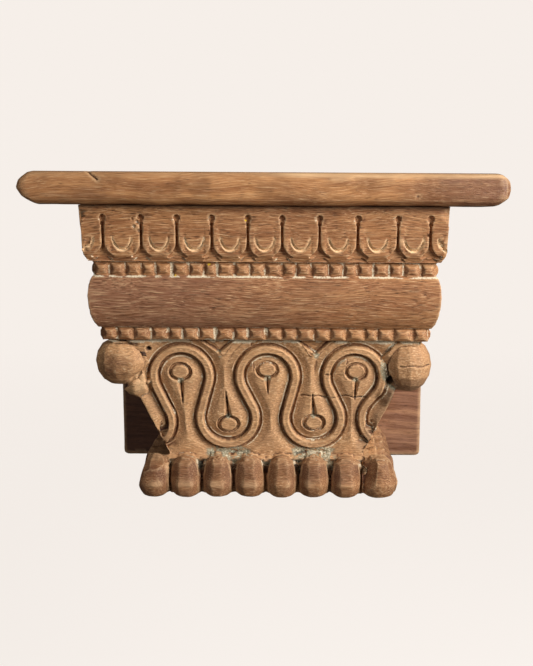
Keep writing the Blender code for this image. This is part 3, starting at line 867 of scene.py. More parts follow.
    def with_hollow(
        self, drop: Drop, height: np.ndarray, distance: np.ndarray, u: np.ndarray, v: np.ndarray
    ) -> np.ndarray:
        """Cuts the three-cornered hollow under the beads, and flattens the wood on its right side.

        Args:
            drop: the hanging drop.
            height: heights so far.
            distance: distance to the ribbon's middle line.
            u: places along the face.
            v: places up the face.

        Returns:
            The new heights.
        """
        apex = drop.crease_end[1]
        aside = u - self.crease(drop, v)
        near = (np.abs(aside) < 30.0) & (distance > self.groove_mm)
        prong = smooth_step((v - apex + 26.0) / 16.0) * smooth_step(aside / 2.5)
        flat = np.minimum(-0.1 - 0.13 * (distance - 7.4), 3.0 * (distance - 7.2) - 2.0)
        height = np.where(near, height + prong * np.maximum(flat - height, 0.0), height)
        rise = np.clip((v - apex) / (self.length_mm - apex), 0.0, 1.0)
        sunk = -4.4 * smooth_step((19.0 * rise - np.abs(aside + 2.0 * rise)) / 3.2)
        return np.where(near & (rise > 0.0), np.minimum(height, np.maximum(height + sunk, -4.6)), height)

    def drop_cuts(self, drop: Drop, u: np.ndarray, v: np.ndarray) -> np.ndarray:
        """Ring round the bud, the bud's own rounded top and the slit beside it.

        Args:
            drop: the drop.
            u: places along the face.
            v: places up the face.

        Returns:
            The highest that the wood may be at each place.
        """
        ring = np.hypot((u - drop.bud[0]) / 9.7, (v - drop.bud[1]) / 7.9)
        ring_cut = -3.0 * stripe(ring, 1.0, 0.27, 1.5)
        button = np.where(ring < 1.0, 0.1 - 0.7 * ring**3, 9.0)
        bud = np.where(ring_cut < 0.0, ring_cut, button)
        start = np.array([drop.bud[0], drop.bud[1] + (-7.5 if drop.upright else 7.5)])
        run = (v - start[1]) / (drop.slit_end[1] - start[1])
        middle = start[0] + (drop.slit_end[0] - start[0]) * run
        left = np.clip(1.0 - run, 0.0, 1.0)
        slit = -4.6 * (1.0 - np.abs(u - middle) / np.maximum(3.9 * left, 0.05)) * (0.5 + 0.5 * left)
        slit = np.where((run > -0.06) & (run < 1.0) & (ring > 0.98), slit, 9.0)
        return np.minimum(bud, slit)

    def carve(self, dense: DenseMesh, kept: Marks) -> None:
        """Moves the vertices of this face to its relief, and notes the marks on them.

        Args:
            dense: the fine mesh.
            kept: marks of the whole piece, which gain those of this face.
        """
        out = np.cross(self.along, self.up)
        local = dense.points - self.foot
        u, v, h = local @ self.along, local @ self.up, local @ out
        side = self.foot_half_mm + (self.top_half_mm - self.foot_half_mm) * v / self.length_mm - np.abs(u)
        level = np.minimum(v + 0.4, self.length_mm + 0.6 - v)
        chosen = np.flatnonzero((np.minimum(side, level) > 0.2) & (h < 0.6) & (h > -8.0))
        u, v, h = u[chosen], v[chosen], h[chosen]
        distance = self.ribbon_distance(u, v)
        share = np.minimum(smooth_step(side[chosen] / 3.0), smooth_step(level[chosen] / 1.6))
        dense.points[chosen] += out * ((self.height(u, v, distance) - h) * share)[:, None]
        for name, values in self.marks(u, v, distance).items():
            lift(kept, name, values, chosen)


@dataclass(frozen=True)
class CornerBall:
    """One of the two balls at the front panel's upper corners, with its middle, radius and inward bulge.

    Way is -1 for the left ball and 1 for the right one.
    """

    way: float
    middle_mm: tuple[float, float, float]
    radius_mm: float
    bulge_mm: float

    def facets(self) -> Facets:
        """Lays chisel cuts all round the ball, each turned on by the golden angle.

        Returns:
            For each cut the way it looks and its distance from the middle. The left ball has one broad cut.
        """
        cuts = []
        for index in range(26):
            turn, upward = 2.4 * index, -0.65 + 1.4 * index / 25
            level = (1.0 - upward * upward) ** 0.5
            cuts.append(((level * sin(turn), level * cos(turn), upward), 0.955 * self.radius_mm))
        if self.way < 0:
            cuts = [cut for cut in cuts if abs(cut[0][0]) < 0.5] + [((0.80, 0.25, -0.54), 19.5)]
        return tuple(cuts)


@dataclass(frozen=True)
class FriezeFace:
    """One face of the frieze: its axes, where it stands, the way into the wood, and its grooves."""

    along: int
    across: int
    level: float
    inward: float
    grooves: tuple[float, ...]

    @property
    def is_front(self) -> bool:
        """Whether this is the long face at the front."""
        return self.along == 0

    def depth(self, points: np.ndarray) -> np.ndarray:
        """How deep each place lies in the wood behind this face."""
        return self.inward * (points[:, self.across] - self.level)


@dataclass
class CarvedBlock(WoodPiece):
    """The corbel block, with all its carving.

    Places are X, depth behind the frieze's top edge and height over the block's foot. Insets are from the
    frieze's top edge. All are in millimetres.
    """

    frieze_foot_mm: float = 229.5
    frieze_lean_mm: float = 2.0
    panel_foot_mm: float = 38.5
    panel_top_mm: float = 155.0
    panel_foot_inset_mm: tuple[float, float] = (75.5, 33.0)
    panel_top_inset_mm: float = 20.0
    radius_mm: float = 27.0
    front_bights: tuple[tuple[float, float], ...] = (
        (-119.2, 32.5),
        (-81.3, 79.8),
        (-37.3, 37.05),
        (1.7, 79.8),
        (46.2, 37.05),
        (85.6, 79.8),
        (120.4, 37.05),
    )
    front_drops: tuple[Drop, ...] = (
        Drop((-82.3, 84.5), (-80.0, 50.0), (-77.6, 8.0), True),
        Drop((1.4, 87.0), (2.2, 61.0), (0.9, 8.0), True),
        Drop((87.4, 85.6), (86.0, 51.0), (84.3, 8.0), True),
        Drop((-36.6, 31.0), (-38.6, 66.0), (-44.4, 103.0), False),
        Drop((46.7, 33.0), (45.0, 66.0), (48.2, 102.0), False),
    )
    pits_mm: tuple[float, ...] = (-36.0, 48.0)
    corner_balls: tuple[CornerBall, ...] = (
        CornerBall(-1.0, (-142.0, 33.5, 132.0), 23.4, 7.0),
        CornerBall(1.0, (139.0, 33.5, 129.5), 25.2, 3.0),
    )
    cut_ball_mm: tuple[float, float, float] = (140.0, 33.5, 130.5)
    knob_mm: tuple[float, float, float] = (124.0, 34.0, 111.5)
    lump_mm: tuple[float, float, float] = (124.0, 30.0, 100.0)
    # middle of the end-grain rings and painted shade on the left ball
    end_grain_and_shade_mm: tuple[float, float, float] = (-144.0, 11.0, 126.0)
    grooves_mm: tuple[float, ...] = (-148.5, -113.3, -80.5, -48.3, -15.1, 16.3, 50.7, 85.9, 122.7, 152.7)
    side_groove_mm: float = 20.5
    side_pitch_mm: float = 33.2
    groove_floor_mm: float = 2.6
    crescent_half_mm: tuple[float, float] = (8.8, 12.6)
    crescent_middle_mm: float = 24.4
    chips_mm: tuple[tuple[float, float, float], ...] = (
        (-116.5, 37.5, 2.6),
        (-119.5, 33.0, 2.2),
        (-115.5, 29.0, 1.9),
        (-121.0, 40.0, 1.6),
    )
    dust_lines: tuple[tuple[float, float, float], ...] = (
        (216.0, 1.9, 0.9),
        (229.6, 1.2, 0.7),
        (167.6, 1.2, 0.6),
        (153.2, 3.2, 0.95),
    )
    paint_specks: tuple[tuple[float, float, float], ...] = (
        (-51.9, 227.5, 1.5),
        (-83.4, 217.0, 1.4),
        (-38.9, 166.2, 1.5),
        (-17.0, 268.5, 1.3),
    )
    bead_courses: tuple[tuple[float, float, float], ...] = ((216.5, 229.5, 10.5), (155.0, 167.5, 16.0))
    bead_rise_mm: float = 2.9
    toe_insets_mm: tuple[float, float] = (60.0, 29.0)
    toe_reach_mm: float = 15.5
    toe_ridge_mm: float = 13.0
    toe_facets: Facets = (
        ((0.0, 0.97, 0.20), 14.4),
        ((0.0, 0.94, -0.34), 14.7),
        ((0.66, 0.72, 0.16), 14.6),
        ((-0.66, 0.72, 0.16), 14.6),
        ((0.62, 0.70, -0.36), 14.9),
        ((-0.62, 0.70, -0.36), 14.9),
        ((0.0, 0.60, -0.80), 17.6),
        ((0.55, 0.30, -0.78), 17.4),
        ((-0.55, 0.30, -0.78), 17.4),
        ((0.0, 0.62, 0.78), 23.5),
    )
    kept: Marks = field(init=False)

    def at(self, x: float, depth: float, height: float) -> np.ndarray:
        """A place by its X, its depth behind the frieze's top edge and its height over the block's foot."""
        low, _ = self.corners()
        return np.array([x, low[1] + depth, low[2] + height])

    def knob(self, way: float) -> np.ndarray:
        """The middle of the left knob, for a way of -1, or of the right one, for 1."""
        return self.at(way * self.knob_mm[0], *self.knob_mm[1:])

    def carve(self, dense: DenseMesh) -> None:
        """Carves knobs, panels, frieze, beads, toes and balls, and leaves the surface uneven.

        Args:
            dense: the fine mesh.
        """
        self.kept = {name: np.zeros(len(dense.points)) for name in ("dust", "soil", "soot", "wear", "shade")}
        self.knobs(dense)
        self.front_panel().carve(dense, self.kept)
        self.side_panel(dense)
        self.frieze(dense)
        self.beads(dense)
        self.toes(dense)
        self.balls(dense)
        dense.write()
        self.crisp(dense, rounds=6, share=0.8)
        self.roughen(dense, swell_mm=0.45, tool_mm=0.22)
        height = dense.points[:, 2] - self.corners()[0][2]
        foot = band(height, 34.0, 3.0, 46.0, 6.0)
        pits = self.pits(dense.points)
        crumbs = 0.45 * noise(dense.points, 3.2, 91) + 0.8 * pits * noise(dense.points, 1.9, 92)
        dense.points += dense.normals * (foot * crumbs)[:, None]

    def pits(self, places: np.ndarray) -> np.ndarray:
        """Share from 0 to 1 of the two dirt-filled pits at the front panel's foot, at each place."""
        return np.max([smooth_step((25.0 - np.abs(places[:, 0] - x)) / 8.0) for x in self.pits_mm], axis=0)

    def beads(self, dense: DenseMesh) -> None:
        """Takes the sharp tops off the beads, which were left as flat squares.

        Args:
            dense: the fine mesh.
        """
        low, high = self.corners()
        height = dense.points[:, 2] - low[2]
        for foot, top, inset in self.bead_courses:
            course = (height > foot + 0.5) & (height < top - 0.5)
            over = low[1] + inset - self.bead_rise_mm - dense.points[:, 1]
            dense.points[:, 1] += 0.6 * np.maximum(over, 0.0) * course
            for way in (-1.0, 1.0):
                over = way * dense.points[:, 0] - (high[0] - inset) - self.bead_rise_mm
                dense.points[:, 0] -= way * 0.6 * np.maximum(over, 0.0) * course

    def front_panel(self) -> RibbonPanel:
        """The carved face at the front.

        Returns:
            The panel with its three upright and two hanging drops.
        """
        _, high = self.corners()
        side_inset, front_inset = self.panel_foot_inset_mm
        slant = self.panel_top_inset_mm - front_inset
        return RibbonPanel(
            foot=self.at(0.0, front_inset, self.panel_foot_mm),
            along=np.array([1.0, 0.0, 0.0]),
            rise=np.array([0.0, slant, self.panel_top_mm - self.panel_foot_mm]),
            foot_half_mm=high[0] - side_inset,
            top_half_mm=high[0] - self.panel_top_inset_mm,
            bights=self.front_bights,
            radius_mm=self.radius_mm,
            drops=self.front_drops,
            holes=((120.5, 76.5, 5.6, 7.0), (-112.0, 107.5, 3.4, 2.8), (119.0, 62.5, 14.0, -4.5)),
            balls=((138.0, 90.5, 26.0),),
            cracks=((34.0, 60.2, 97.5, 59.4), (54.0, 85.0, 64.5, 81.0)),
        )

    def side_panel(self, dense: DenseMesh) -> None:
        """Carves both side faces, the left one as the right one's mirror image.

        Args:
            dense: the fine mesh.
        """
        low, high = self.corners()
        side_inset, front_inset = self.panel_foot_inset_mm
        middle = (high[1] + low[1] + front_inset) / 2
        half = (high[1] - low[1] - front_inset) / 2
        slant = side_inset - self.panel_top_inset_mm
        panel = RibbonPanel(
            foot=np.array([high[0] - side_inset, middle, low[2] + self.panel_foot_mm]),
            along=np.array([0.0, 1.0, 0.0]),
            rise=np.array([slant, 0.0, self.panel_top_mm - self.panel_foot_mm]),
            foot_half_mm=half,
            top_half_mm=half + 6.0,
            bights=((-0.64 * half, 37.05), (0.0, 79.8), (0.64 * half, 37.05)),
            radius_mm=self.radius_mm,
            drops=(Drop((0.0, 84.5), (0.0, 52.0), (0.0, 8.0), True),),
        )
        for _ in range(2):
            panel.carve(dense, self.kept)
            dense.points[:, 0] *= -1.0

    def frieze(self, dense: DenseMesh) -> None:
        """Carves the tongues, the grooves between them and the chipped patch beside the second groove.

        Args:
            dense: the fine mesh.
        """
        self.plane_frieze(dense)
        low, high = self.corners()
        foot = low[2] + self.frieze_foot_mm
        lean = self.frieze_lean_mm * (high[2] - dense.points[:, 2]) / (high[2] - foot)
        for face in self.frieze_faces():
            depth = face.depth(dense.points) - lean
            self.crescents(dense, face, depth, lean)
            self.narrow(dense, face, (depth > -1.0) & (depth < 9.0) & (dense.points[:, 2] < foot + 35.0))
            inner = (depth > self.groove_floor_mm) & (depth < 7.0)
            inner = np.flatnonzero(inner & (dense.points[:, 2] > foot + 0.5))
            filled = np.where(dense.points[inner, 2] < foot + 37.0, 0.5, 0.7)
            dense.points[inner, face.across] -= face.inward * filled * (depth[inner] - self.groove_floor_mm)
            self.spandrels(dense, face)
        self.chips(dense)

    def frieze_faces(self) -> tuple[FriezeFace, ...]:
        """The frieze's front and its right and left side.

        Returns:
            The faces. Their grooves begin with the corner, and the front's end with the other corner.
        """
        low, high = self.corners()
        front = (-high[0], *self.grooves_mm, high[0])
        side = (low[1], *(low[1] + self.side_groove_mm + self.side_pitch_mm * i for i in range(5)))
        return (
            FriezeFace(0, 1, low[1], 1.0, front),
            FriezeFace(1, 0, high[0], -1.0, side),
            FriezeFace(1, 0, -high[0], 1.0, side),
        )

    def plane_frieze(self, dense: DenseMesh) -> None:
        """Evens out the front of the tongues, away from the grooves and the corners.

        Args:
            dense: the fine mesh.
        """
        low, _ = self.corners()
        x, y, z = dense.points.T
        clear = np.min([np.abs(x - groove) for groove in self.grooves_mm], axis=0)
        upward = np.abs(z - (low[2] + self.frieze_foot_mm) - 22.0)
        middle = smooth_step((clear - 5.0) / 3.0) * smooth_step((16.0 - upward) / 6.0)
        middle *= smooth_step((148.0 - np.abs(x)) / 4.0) * (y < low[1] + 8.0)
        dense.points[:, 1] += (dense.spread(dense.points[:, 1:2], 90)[:, 0] - y) * middle

    def crescents(self, dense: DenseMesh, face: FriezeFace, depth: np.ndarray, lean: np.ndarray) -> None:
        """Cuts a crescent on every tongue of one face.

        Args:
            dense: the fine mesh.
            face: the face.
            depth: how deep each vertex lies behind the leaning face.
            lean: how far the face leans in at each vertex.
        """
        rise = dense.points[:, 2] - (self.corners()[0][2] + self.frieze_foot_mm)
        chosen = np.flatnonzero((np.abs(depth) < 2.2) & (rise > 5.0))
        place = dense.points[chosen, face.along]
        middles = [(one + two) / 2 for one, two in zip(face.grooves[1:], face.grooves[2:])]
        if face.is_front:
            middles[-1:] = [face.grooves[0] + 4.0, face.grooves[-1] - 1.0]
        sink = np.max([self.crescent(place - middle, rise[chosen]) for middle in middles], axis=0)
        if face.is_front:
            sink *= smooth_step((np.abs(face.grooves[0]) - lean[chosen] - np.abs(place) - 0.6) / 1.2)
        dense.points[chosen, face.across] += face.inward * sink
        # the crescents painted pale: bare wood and a painted highlight on the lit cut
        lift(self.kept, "wear", smooth_step(sink / 0.6), chosen)

    def spandrels(self, dense: DenseMesh, face: FriezeFace) -> None:
        """Cuts the wood between the tongues' round ends down to the beads.

        Args:
            dense: the fine mesh.
            face: the face.
        """
        low, high = self.corners()
        rise = dense.points[:, 2] - low[2] - self.frieze_foot_mm
        depth = face.depth(dense.points)
        zone = np.flatnonzero((rise > -0.6) & (rise < 8.0) & (depth > -1.5) & (depth < 6.5))
        rise, place = rise[zone], dense.points[zone, face.along]
        ends = face.grooves if face.is_front else (*face.grooves, face.grooves[-1] + self.side_pitch_mm)
        outside = np.full(len(zone), 9.0)
        for one, two in zip(ends, ends[1:]):
            middle, reach = (one + two) / 2, (two - one) / 2 - 1.7
            if one == ends[0]:
                middle, reach = one, two - one - 1.7
            elif two >= high[0] - 0.1:
                middle, reach = two, two - one - 1.7
            outside = np.minimum(outside, np.hypot((place - middle) / reach, (18.5 - rise) / 17.6))
        sunk = 6.2 * smooth_step((outside - 1.0) / 0.14) * smooth_step((8.0 - rise) / 2.0)
        dense.points[zone, face.across] += face.inward * np.maximum(sunk - depth[zone], 0.0)

    def narrow(self, dense: DenseMesh, face: FriezeFace, chosen: np.ndarray) -> None:
        """Moves the walls of the frieze's grooves closer, which the even mesh leaves too far apart.

        Args:
            dense: the fine mesh.
            face: the face.
            chosen: which vertices may move.
        """
        above_beads = chosen & (dense.points[:, 2] > 90.5)
        for groove in face.grooves[1:]:
            aside = dense.points[:, face.along] - groove
            move = np.interp(np.abs(aside), (0.0, 2.2, 6.0), (0.0, 0.7, 0.0))
            dense.points[:, face.along] -= np.sign(aside) * move * above_beads

    def crescent(self, aside: np.ndarray, height: np.ndarray) -> np.ndarray:
        """Depth of one crescent cut, deepest and widest at its lowest point.

        Args:
            aside: distance from the tongue's middle line.
            height: height over the frieze's foot.

        Returns:
            Depths in millimetres.
        """
        half_width, half_height = self.crescent_half_mm
        drop = self.crescent_middle_mm - height
        ring = np.hypot(aside / half_width, drop / half_height)
        fatness = 0.45 + 0.65 * np.clip(drop / half_height, 0.0, 1.0)
        cut = 2.2 * fatness * (1.0 - np.abs(ring - 1.0) * 11.0 / (1.25 * fatness))
        return np.maximum(cut, 0.0) * smooth_step((drop + 0.5) / 3.0)

    def toes(self, dense: DenseMesh) -> None:
        """Fills the toes out until they all but touch, whittles each and widens the right corner one.

        Args:
            dense: the fine mesh.
        """
        low, high = self.corners()
        height = dense.points[:, 2] - low[2]
        zone = smooth_step((36.0 - height) / 6.0) * (dense.points[:, 1] < high[1] - 5.0)
        dense.points += (dense.spread(dense.points, 10) - dense.points) * zone[:, None]
        dense.write()
        shoulder = smooth_step(1.0 - np.abs(height - 29.0) / 9.0)
        dense.points[:, :2] += dense.normals[:, :2] * ((1.7 + 0.8 * shoulder) * zone)[:, None]
        dense.points[:, 2] -= 1.8 * smooth_step((16.0 - height) / 16.0)
        for index, (x, y, facing) in enumerate(self.toe_places()):
            centre = np.array([x, y, low[2] + self.toe_ridge_mm])
            near = np.abs(dense.points[:, :2] - centre[:2]).max(axis=1) < self.toe_reach_mm + 2.5
            cut = np.flatnonzero(near & (height < 37.0))
            self.whittle(dense, cut, centre, facing, self.toe_facets, 80 + index, share=0.62)
        dense.points += (dense.spread(dense.points, 3) - dense.points) * zone[:, None]
        self.corner_toes(dense)
        dense.write()
        for x, y, facing in self.toe_places():
            if facing != -20.0:
                self.toe_top(dense, np.array([x, y, low[2]]), radians(facing))

    def toe_top(self, dense: DenseMesh, foot: np.ndarray, facing: float) -> None:
        """Cuts the gap round a toe's arched top, so that it stands out of the wood behind it.

        Args:
            dense: the fine mesh.
            foot: the middle of the toe's foot.
            facing: where the toe looks, in radians from the front.
        """
        local = dense.points - foot
        aside = np.abs(local[:, 0] * cos(facing) + local[:, 1] * sin(facing))
        out = local[:, 0] * sin(facing) - local[:, 1] * cos(facing)
        rise = np.maximum(local[:, 2] - 20.0, 0.0)
        arch = (aside / 14.6) ** 2.6 + (rise / 20.5) ** 2.6
        here = (aside < self.toe_reach_mm + 0.3) & (out > 0.0) & (local[:, 2] < 44.0)
        share = smooth_step((arch - 0.7) / 0.4) * smooth_step((rise + 3.0) / 8.0)
        share *= smooth_step((43.5 - local[:, 2]) / 3.0)
        between = smooth_step((arch - 1.0) / 0.5) * share
        dense.points -= dense.normals * ((2.2 * share + 3.0 * between) * here)[:, None]
        inside = smooth_step((0.95 - arch) / 0.25) * smooth_step((rise - 4.0) / 6.0)
        # painted shade in the gap round the toe's top and on its upper part; dirt and dust in the gap
        lift(self.kept, "shade", np.maximum(0.4 * share, 0.5 * inside) * here)
        lift(self.kept, "soil", (0.5 * share + 0.5 * between) * here)
        lift(self.kept, "dust", share * (1.0 - between) * smooth_step(rise / 14.0) * here)

    def corner_toes(self, dense: DenseMesh) -> None:
        """Widens and slants the right corner toe and lowers the left one, as they were carved.

        Args:
            dense: the fine mesh.
        """
        low, _ = self.corners()
        height = dense.points[:, 2] - low[2]
        beyond = np.maximum(dense.points[:, 0] - 94.0, 0.0) * smooth_step((36.0 - height) / 10.0)
        dense.points[:, 0] += 0.12 * beyond
        middle = self.at(110.0, self.toe_insets_mm[1], self.toe_ridge_mm)
        at_front = (dense.points[:, 1] < middle[1] + 14.0) & (height < 42.0)
        right = np.flatnonzero((dense.points[:, 0] > 94.5) & at_front)
        slant = (((0.896, 0.0, 0.442), 18.4), ((0.75, 0.45, 0.48), 19.4), ((0.3, 0.75, 0.58), 21.0))
        slant += (((-0.72, 0.66, 0.22), 13.0),)
        self.whittle(dense, right, middle, 0.0, slant, 131)
        left = np.flatnonzero((dense.points[:, 0] < -95.0) & at_front)
        slant = (((-0.958, 0.0, 0.286), 12.8), ((-0.6, 0.5, 0.62), 17.5), ((0.0, 0.55, 0.83), 20.0))
        self.whittle(dense, left, middle * [-1.0, 1.0, 1.0], 0.0, slant, 133)

    def toe_places(self) -> list[tuple[float, float, float]]:
        """Where the toes stand.

        Returns:
            For each toe the X and Y of its middle, and the angle that it faces, in degrees from the front.
        """
        low, high = self.corners()
        side = high[0] - self.toe_insets_mm[0]
        front = low[1] + self.toe_insets_mm[1]
        pitch = 2 * (side - self.toe_reach_mm) / 6
        places = [(pitch * (i - 2.5), front, 0.0) for i in range(6)]
        step = (high[1] - front - self.toe_reach_mm) / 4
        side_places = [front + self.toe_reach_mm + step * (i + 0.5) for i in range(4)]
        for way in (-1.0, 1.0):
            places.append((way * side, front, 20.0 * way))
            places += [(way * side, y, 90.0 * way) for y in side_places]
        return places

    def balls(self, dense: DenseMesh) -> None:
        """Leaves chisel facets on the corner balls, which run into the panel on their inner side.

        Args:
            dense: the fine mesh.
        """
        for ball in self.corner_balls:
            centre = self.at(*ball.middle_mm)
            local = dense.points - centre
            gap = np.linalg.norm(local, axis=1)
            off_knob = distance_to(dense.points, self.knob(ball.way)) > 15.0
            chosen = np.flatnonzero((gap < ball.radius_mm + 4.0) & off_knob)
            self.whittle(dense, chosen, centre, 0.0, ball.facets(), 120 + int(ball.way), share=0.75)
            inward = smooth_step((6.0 - ball.way * local[:, 0] + 0.5 * local[:, 2]) / 26.0)
            bulge = ball.bulge_mm * inward * (gap < ball.radius_mm + 2.0) * (local[:, 1] < 6.0) * off_knob
            dense.points[:, 0] -= ball.way * bulge
        self.split(dense)

    def split(self, dense: DenseMesh) -> None:
        """Opens the split across the right ball, and paints shade into it.

        Args:
            dense: the fine mesh.
        """
        x, y, z = dense.points.T
        front, foot = self.corners()[0][1:]
        gap = np.abs(z - foot - 131.0 - 0.5 * np.sin(x / 2.7))
        share = np.maximum(1.0 - gap / 0.9, 0.0) * smooth_step((x - 126.0) / 3.0)
        share *= smooth_step((159.0 - x) / 3.0) * (y < front + 28.0)
        dense.points[:, 1] += 1.2 * share
        # painted shade in the split
        lift(self.kept, "shade", 0.8 * share)

    def knobs(self, dense: DenseMesh) -> None:
        """Fills the left knob out, and takes the right one back to a low lump, as they were carved.

        Args:
            dense: the fine mesh.
        """
        panel = self.front_panel()
        out = np.cross(panel.along, panel.up)
        ball_x, *ball_place = self.cut_ball_mm
        for way, grow in ((-1.0, 2.6), (1.0, -1.0)):
            off_ball = distance_to(dense.points, self.at(way * ball_x, *ball_place)) - 24.0
            share = smooth_step((18.0 - distance_to(dense.points, self.knob(way))) / 6.0)
            share *= smooth_step(off_ball / 3.0)
            dense.points += dense.normals * (grow * share)[:, None]
            if way < 0:
                dense.points[:, 0] -= 2.5 * share
            else:
                beyond = np.maximum((dense.points - panel.foot) @ out + 0.5, 0.0)
                dense.points -= out * (beyond * share)[:, None]
                dense.points[:, 0] -= 0.85 * share * np.maximum(dense.points[:, 0] - self.knob_mm[0], 0.0)

    def whittle(
        self,
        dense: DenseMesh,
        chosen: np.ndarray,
        centre: np.ndarray,
        facing: float,
        facets: Facets,
        seed: int,
        share: float = 0.9,
    ) -> None:
        """Cuts flat facets round a middle point, each a little off its place as a knife leaves it.

        Args:
            dense: the fine mesh.
            chosen: the vertices that may be cut.
            centre: the middle point.
            facing: where the front of the form looks, in degrees from the front.
            facets: for each facet the way it looks (sideways, out, up) and its distance from the middle.
            seed: picks the small differences.
            share: how far a facet is cut down to its plane.
        """
        turn = radians(facing)
        aside = np.array([cos(turn), sin(turn), 0.0])
        out = np.array([sin(turn), -cos(turn), 0.0])
        for index, (look, reach) in enumerate(facets):
            drift = 2.0 * lattice_values(np.array([[index, axis, seed] for axis in range(4)]), seed) - 1.0
            normal = look[0] * aside + look[1] * out + look[2] * np.array([0.0, 0.0, 1.0]) + 0.07 * drift[:3]
            normal /= np.linalg.norm(normal)
            over = np.maximum((dense.points[chosen] - centre) @ normal - reach - 0.35 * drift[3], 0.0)
            dense.points[chosen] -= share * over[:, None] * normal

    def chips(self, dense: DenseMesh) -> None:
        """Knocks small chips out of the frieze beside the second groove.

        Args:
            dense: the fine mesh.
        """
        for x, rise, size in self.chips_mm:
            centre = self.at(x, 0.6, self.frieze_foot_mm + rise)
            dense.points[:, 1] += 1.9 * smooth_step(1.0 - distance_to(dense.points, centre) / size)

    def marks(self, dense: DenseMesh) -> Marks:
        """Adds the block's own traces of age, and its painted shade and highlights, to the shared marks.

        Args:
            dense: the carved mesh.

        Returns:
            Shares from 0 to 1 for each vertex.
        """
        return BlockAge(self, dense, super().marks(dense)).lay()

    def panel_right_strip(self, places: np.ndarray) -> np.ndarray:
        """The strip along the front panel's right edge, under the ball, which gets painted shadow and a plum
        tone.

        Args:
            places: the fine mesh's places.

        Returns:
            A share from 0 to 1 for each place.
        """
        low, high = self.corners()
        rise = (places[:, 2] - low[2] - self.panel_foot_mm) / (self.panel_top_mm - self.panel_foot_mm)
        rise = np.clip(rise, 0.0, 1.0)
        edge = high[0] - self.panel_foot_inset_mm[0] * (1.0 - rise) - self.panel_top_inset_mm * rise
        share = smooth_step((places[:, 0] - edge + 13.0) / 6.0) * smooth_step((0.72 - rise) / 0.06)
        return share * smooth_step(rise / 0.1) * smooth_step((low[1] + 60.0 - places[:, 1]) / 20.0)


